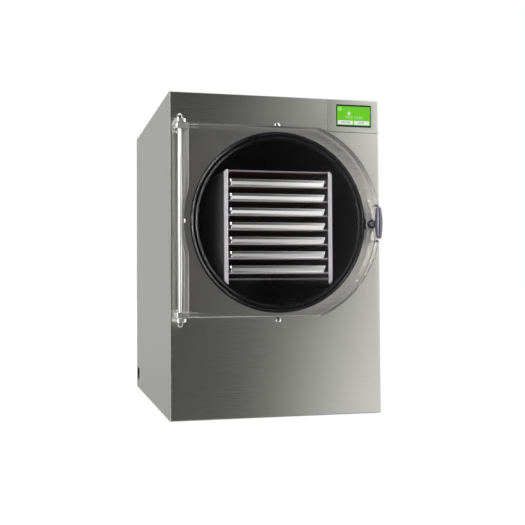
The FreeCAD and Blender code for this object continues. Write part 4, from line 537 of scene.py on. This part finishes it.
GEAR_PLACE = on_screen(0.085, 0.825)
FLAKE_PLACE = on_screen(0.36, 0.62)
TOOTH = ((0.0, 0.74), (0.2, 1.0), (0.5, 1.0), (0.7, 0.74))
CRYSTAL_ARM = (
    (0.0, 1.0), (0.14, 0.82), (0.10, 0.45), (0.30, 0.52), (0.5, 0.2), (0.7, 0.52), (0.90, 0.45),
    (0.86, 0.82),
)
flat_print("screen_gear", star_outline(GEAR_PLACE, 0.0062, 8, TOOTH), screen_pale)
flat_print(
    "screen_gear_hub", star_outline(GEAR_PLACE, 0.0024, 12, TOOTH), screen_green,
    PRINT_RISE * 2,
)
flat_print(
    "screen_flake", star_outline(FLAKE_PLACE, 0.0074, 6, CRYSTAL_ARM, math.pi / 2), screen_white,
)


def screen_text(name, words, size, centre, finish):
    """Text made into a mesh, then turned to face the front and put in its place."""
    curve = bpy.data.curves.new(name, "FONT")
    curve.body = words
    curve.size = size
    curve.align_x = "CENTER"
    curve.align_y = "CENTER"
    curve.extrude = PRINT_RISE / 2
    source = add_object(name + "_curve", curve)
    mesh = bpy.data.meshes.new_from_object(source.evaluated_get(bpy.context.evaluated_depsgraph_get()))
    bpy.data.objects.remove(source)
    mesh.transform(Matrix.Translation(centre) @ Matrix.Rotation(math.radians(90), 4, "X"))
    mesh.materials.clear()
    mesh.materials.append(finish)
    piece = add_object(name, mesh)
    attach(piece, "cabinet")
    return piece


lift = Vector((0, -PRINT_RISE, 0))
screen_text("screen_numerals", "TIME 24:00", 0.0118, on_screen(0.5, 0.415) + lift, screen_pale)
screen_text("screen_word_left", "OPTIONS", 0.0068, on_screen(0.26, 0.17) + lift * 2, screen_ink)
screen_text("screen_word_right", "START", 0.0068, on_screen(0.72, 0.17) + lift * 2, screen_ink)

# %% [markdown]
# ## The camera
# It stands low at the front left, a little over two metres away, turned slightly to the right with
# a normal lens, so the door fills the view and the left side shows at a slant. A small lens shift
# sets the cabinet in the frame without turning the camera, which would change its perspective.

# %% Camera
CAMERA_PLACE = (-0.6482, -2.58245, 0.3833)
TURN, TILT, ROLL = math.radians(-13.11), math.radians(1.62), math.radians(0.27)

lens = bpy.data.cameras.new("camera")
lens.lens = 56.04
lens.sensor_width = 36
lens.shift_x = 0.0575
lens.shift_y = -0.0082
camera = add_object("camera", lens)
facing = Matrix.Rotation(TURN, 4, "Z") @ Matrix.Rotation(TILT, 4, "X")
rolled = facing @ Matrix.Rotation(ROLL, 4, "Y") @ Matrix.Rotation(math.radians(90), 4, "X")
camera.matrix_world = Matrix.Translation(CAMERA_PLACE) @ rolled
bpy.context.scene.camera = camera
print("camera at", [round(v, 2) for v in camera.location])

# %% [markdown]
# ## The studio
# Bare metal is only as good as what it reflects. In a studio, dark flags and white cards stand round
# such a cabinet, out of view: a dark one in front on the left gives the panel its deep tone,
# and a white one on the right makes it fade to light. Here one large dome carries them all as a
# soft pattern of light and dark round the horizon. A narrow, strong strip light on the left draws
# the white line down the hinge rod and the thin arcs on the gasket. The ground's levels decide how
# bright the flared tray walls look, as they lean and mirror the floor. Only reflections and
# refractions see the dome. Walls and horizon are listed as (degrees from the front, level), the
# ground as (share of the dome's height, level).

# %% Studio dome
DOME_RADIUS = 8.0
WALL = [
    (-180, 0.95), (-172, 0.40), (-165, 0.42), (-140, 0.7), (-80, 0.65), (-60, 1.0), (-30, 1.1),
    (-24, 1.0), (-16, 0.05), (10, 0.05), (14, 0.15), (17, 0.38), (20, 0.70), (24, 1.15), (30, 1.3),
    (60, 1.0), (85, 0.9), (110, 0.9), (150, 0.9), (180, 0.95),
]
HORIZON = [
    (-180, 1.0), (-177, 0.95), (-174, 0.5), (-166, 0.5), (-150, 0.9), (-135, 0.5), (-78, 0.4),
    (-66, 1.0), (-30, 1.3), (-24, 1.0), (-16, 0.07), (8, 0.08), (14, 0.12), (18, 0.22), (21, 0.35),
    (25, 0.8), (30, 1.3), (48, 1.3), (75, 1.2), (110, 1.1), (150, 1.0), (180, 1.0),
]
GROUND = [
    (0.0, 0.12), (0.05, 0.15), (0.075, 0.7), (0.10, 0.6), (0.125, 0.15), (0.19, 0.03), (0.215, 0.04),
    (0.224, 0.42), (0.243, 0.54), (0.252, 0.68), (0.262, 0.95), (1.0, 1.1),
]
TOP_LEVEL = 1.3  # the brightest card
HORIZON_BAND = (0.42, 0.47, 0.66, 0.71)  # shares of the dome's height
STRIP_BAND = (0.46, 0.48, 0.66, 0.70)
STRIP = [(-40, 0), (-37, 1), (-34, 1), (-31, 0)]
STRIP_LEVEL = 14.0


def card_levels(tree, share, cards):
    """A smooth run of light levels round the horizon from (degrees, level) pairs."""
    stops = [((angle + 180) / 360, level / TOP_LEVEL) for angle, level in cards]
    return ramp(tree, share, stops, "EASE")


def band(tree, height, edges):
    """Full between the two inner heights, fading out to the two outer ones."""
    low, full_from, full_to, high = edges
    return ramp(
        tree, height, [(0.0, 0.0), (low, 0.0), (full_from, 1.0), (full_to, 1.0), (high, 0.0), (1.0, 0.0)]
    )


def mix_colors(tree, factor, first, second):
    return add_node(
        tree, "ShaderNodeMix", {"data_type": "RGBA"}, _0=factor, _6=first, _7=second
    ).outputs[2]


def dome_finish():
    material, tree, output = new_material("studio dome")
    place = add_node(tree, "ShaderNodeTexCoord").outputs["Object"]
    parts = add_node(tree, "ShaderNodeSeparateXYZ", Vector=place)
    ahead = add_math(tree, "MULTIPLY", parts.outputs["Y"], -1.0)
    bearing = add_math(tree, "ARCTAN2", parts.outputs["X"], ahead)
    share = add_math(tree, "MULTIPLY_ADD", bearing, 1 / math.tau, 0.5)
    height = add_math(tree, "MULTIPLY_ADD", parts.outputs["Z"], 0.5 / DOME_RADIUS, 0.5)
    wall = card_levels(tree, share, WALL)
    horizon = card_levels(tree, share, HORIZON)
    walls = mix_colors(tree, band(tree, height, HORIZON_BAND), wall, horizon)
    near_ground = ramp(tree, height, [(0.0, 1.0), (0.27, 1.0), (0.30, 0.0), (1.0, 0.0)])
    ground = ramp(tree, height, [(up, level / TOP_LEVEL) for up, level in GROUND])
    cards = mix_colors(tree, near_ground, walls, ground)
    glow = add_node(tree, "ShaderNodeEmission", Color=cards, Strength=TOP_LEVEL)
    strip_stops = [((angle + 180) / 360, level) for angle, level in STRIP]
    tube = ramp(tree, share, [(0.0, 0.0)] + strip_stops + [(1.0, 0.0)])
    lit = add_math(tree, "MULTIPLY", tube, band(tree, height, STRIP_BAND))
    strip = add_node(tree, "ShaderNodeEmission", Color=lit, Strength=STRIP_LEVEL)
    both_lights = add_node(tree, "ShaderNodeAddShader", _0=glow.outputs[0], _1=strip.outputs[0])
    tree.links.new(both_lights.outputs[0], output.inputs["Surface"])
    return material


dome_mesh = bpy.data.meshes.new("studio_dome")
dome = add_object("studio_dome", dome_mesh)
shape = bmesh.new()
bmesh.ops.create_uvsphere(shape, u_segments=96, v_segments=48, radius=DOME_RADIUS)
shape.to_mesh(dome_mesh)
shape.free()
dome_mesh.materials.append(dome_finish())
dome.visible_camera = False
dome.visible_diffuse = False
dome.visible_shadow = False
print("dome with", len(WALL), "and", len(HORIZON), "light levels")

# %% [markdown]
# ## Floor and world
# The floor is white paper that runs out of sight. For the camera it gives off a little light of its
# own, so the paper goes white while the soft shadow under the cabinet stays. The world is white to
# the camera and to reflections, and a softer white fill to everything else.

# %% Floor
FLOOR_REACH = 14.0  # metres from the middle to each edge
PAPER_GLOW = 0.62
floor_mesh = bpy.data.meshes.new("floor")
corners = [(-1, -1), (1, -1), (1, 1), (-1, 1)]
floor_mesh.from_pydata([(x * FLOOR_REACH, y * FLOOR_REACH, 0) for x, y in corners], [], [(0, 1, 2, 3)])
floor = add_object("floor", floor_mesh)
paper, tree, output = new_material("white paper")
fibres = add_noise(tree, object_pattern(tree, (1, 1, 1)), 300.0, 3.0, 0.6)
sheet_tone = ramp(tree, fibres, [(0.3, 0.84), (0.7, 0.88)])
paper_face = add_node(tree, "ShaderNodeBsdfDiffuse", Color=sheet_tone)
paper_glow = add_node(tree, "ShaderNodeEmission", Color=(1, 1, 1, 1), Strength=PAPER_GLOW)
lit_paper = add_node(tree, "ShaderNodeAddShader", _0=paper_face.outputs[0], _1=paper_glow.outputs[0])
path = add_node(tree, "ShaderNodeLightPath")
paper_mix = add_node(
    tree, "ShaderNodeMixShader", Fac=path.outputs["Is Camera Ray"], _1=paper_face.outputs[0],
    _2=lit_paper.outputs[0],
)
tree.links.new(paper_mix.outputs[0], output.inputs["Surface"])
floor_mesh.materials.append(paper)
floor.visible_glossy = False
floor.visible_transmission = False
print("floor", FLOOR_REACH * 2, "m across")

# %% World
FILL_LEVEL = 0.55
world = bpy.data.worlds.new("studio")
bpy.context.scene.world = world
world.use_nodes = True
tree = world.node_tree
tree.nodes.clear()
world_output = tree.nodes.new("ShaderNodeOutputWorld")
path = add_node(tree, "ShaderNodeLightPath")
seen = add_math(tree, "MAXIMUM", path.outputs["Is Camera Ray"], path.outputs["Is Glossy Ray"])
seen = add_math(tree, "MAXIMUM", seen, path.outputs["Is Transmission Ray"])
fill = add_node(tree, "ShaderNodeBackground", Color=(1, 1, 1, 1), Strength=FILL_LEVEL)
white = add_node(tree, "ShaderNodeBackground", Color=(1, 1, 1, 1), Strength=1.0)
mixed = add_node(tree, "ShaderNodeMixShader", Fac=seen, _1=fill.outputs[0], _2=white.outputs[0])
tree.links.new(mixed.outputs[0], world_output.inputs["Surface"])
print("world fill", FILL_LEVEL, "and white to the camera")

# %% [markdown]
# ## Lamps
# Two large soft boxes light the matt parts: one above the front left and one at the front right.
# They are wide and close to the level of plain daylight, so colours come out as they are mixed.

# %% Soft boxes
def soft_box(name, place, target, size, power):
    """A square area lamp that looks at a point."""
    lamp = bpy.data.lights.new(name, "AREA")
    lamp.size = size
    lamp.energy = power
    holder = add_object(name, lamp)
    aim = Vector(target) - Vector(place)
    holder.matrix_world = Matrix.Translation(place) @ aim.to_track_quat("-Z", "Y").to_matrix().to_4x4()
    return holder


middle = (cad_low + cad_high) / 2
BOX_WIDTH = 1.6  # metres
soft_box("soft box left", (-1.8, -2.6, 2.6), middle, BOX_WIDTH, 20)
soft_box("soft box right", (2.6, -1.8, 2.0), middle, BOX_WIDTH, 13)
print("two soft boxes aimed at", [round(v, 2) for v in middle])

# %% [markdown]
# ## Finish
# The last view settings keep colours as written. The box of the imported model was printed when it was
# loaded.

# %% Finish
bpy.context.scene.view_settings.view_transform = "Standard"
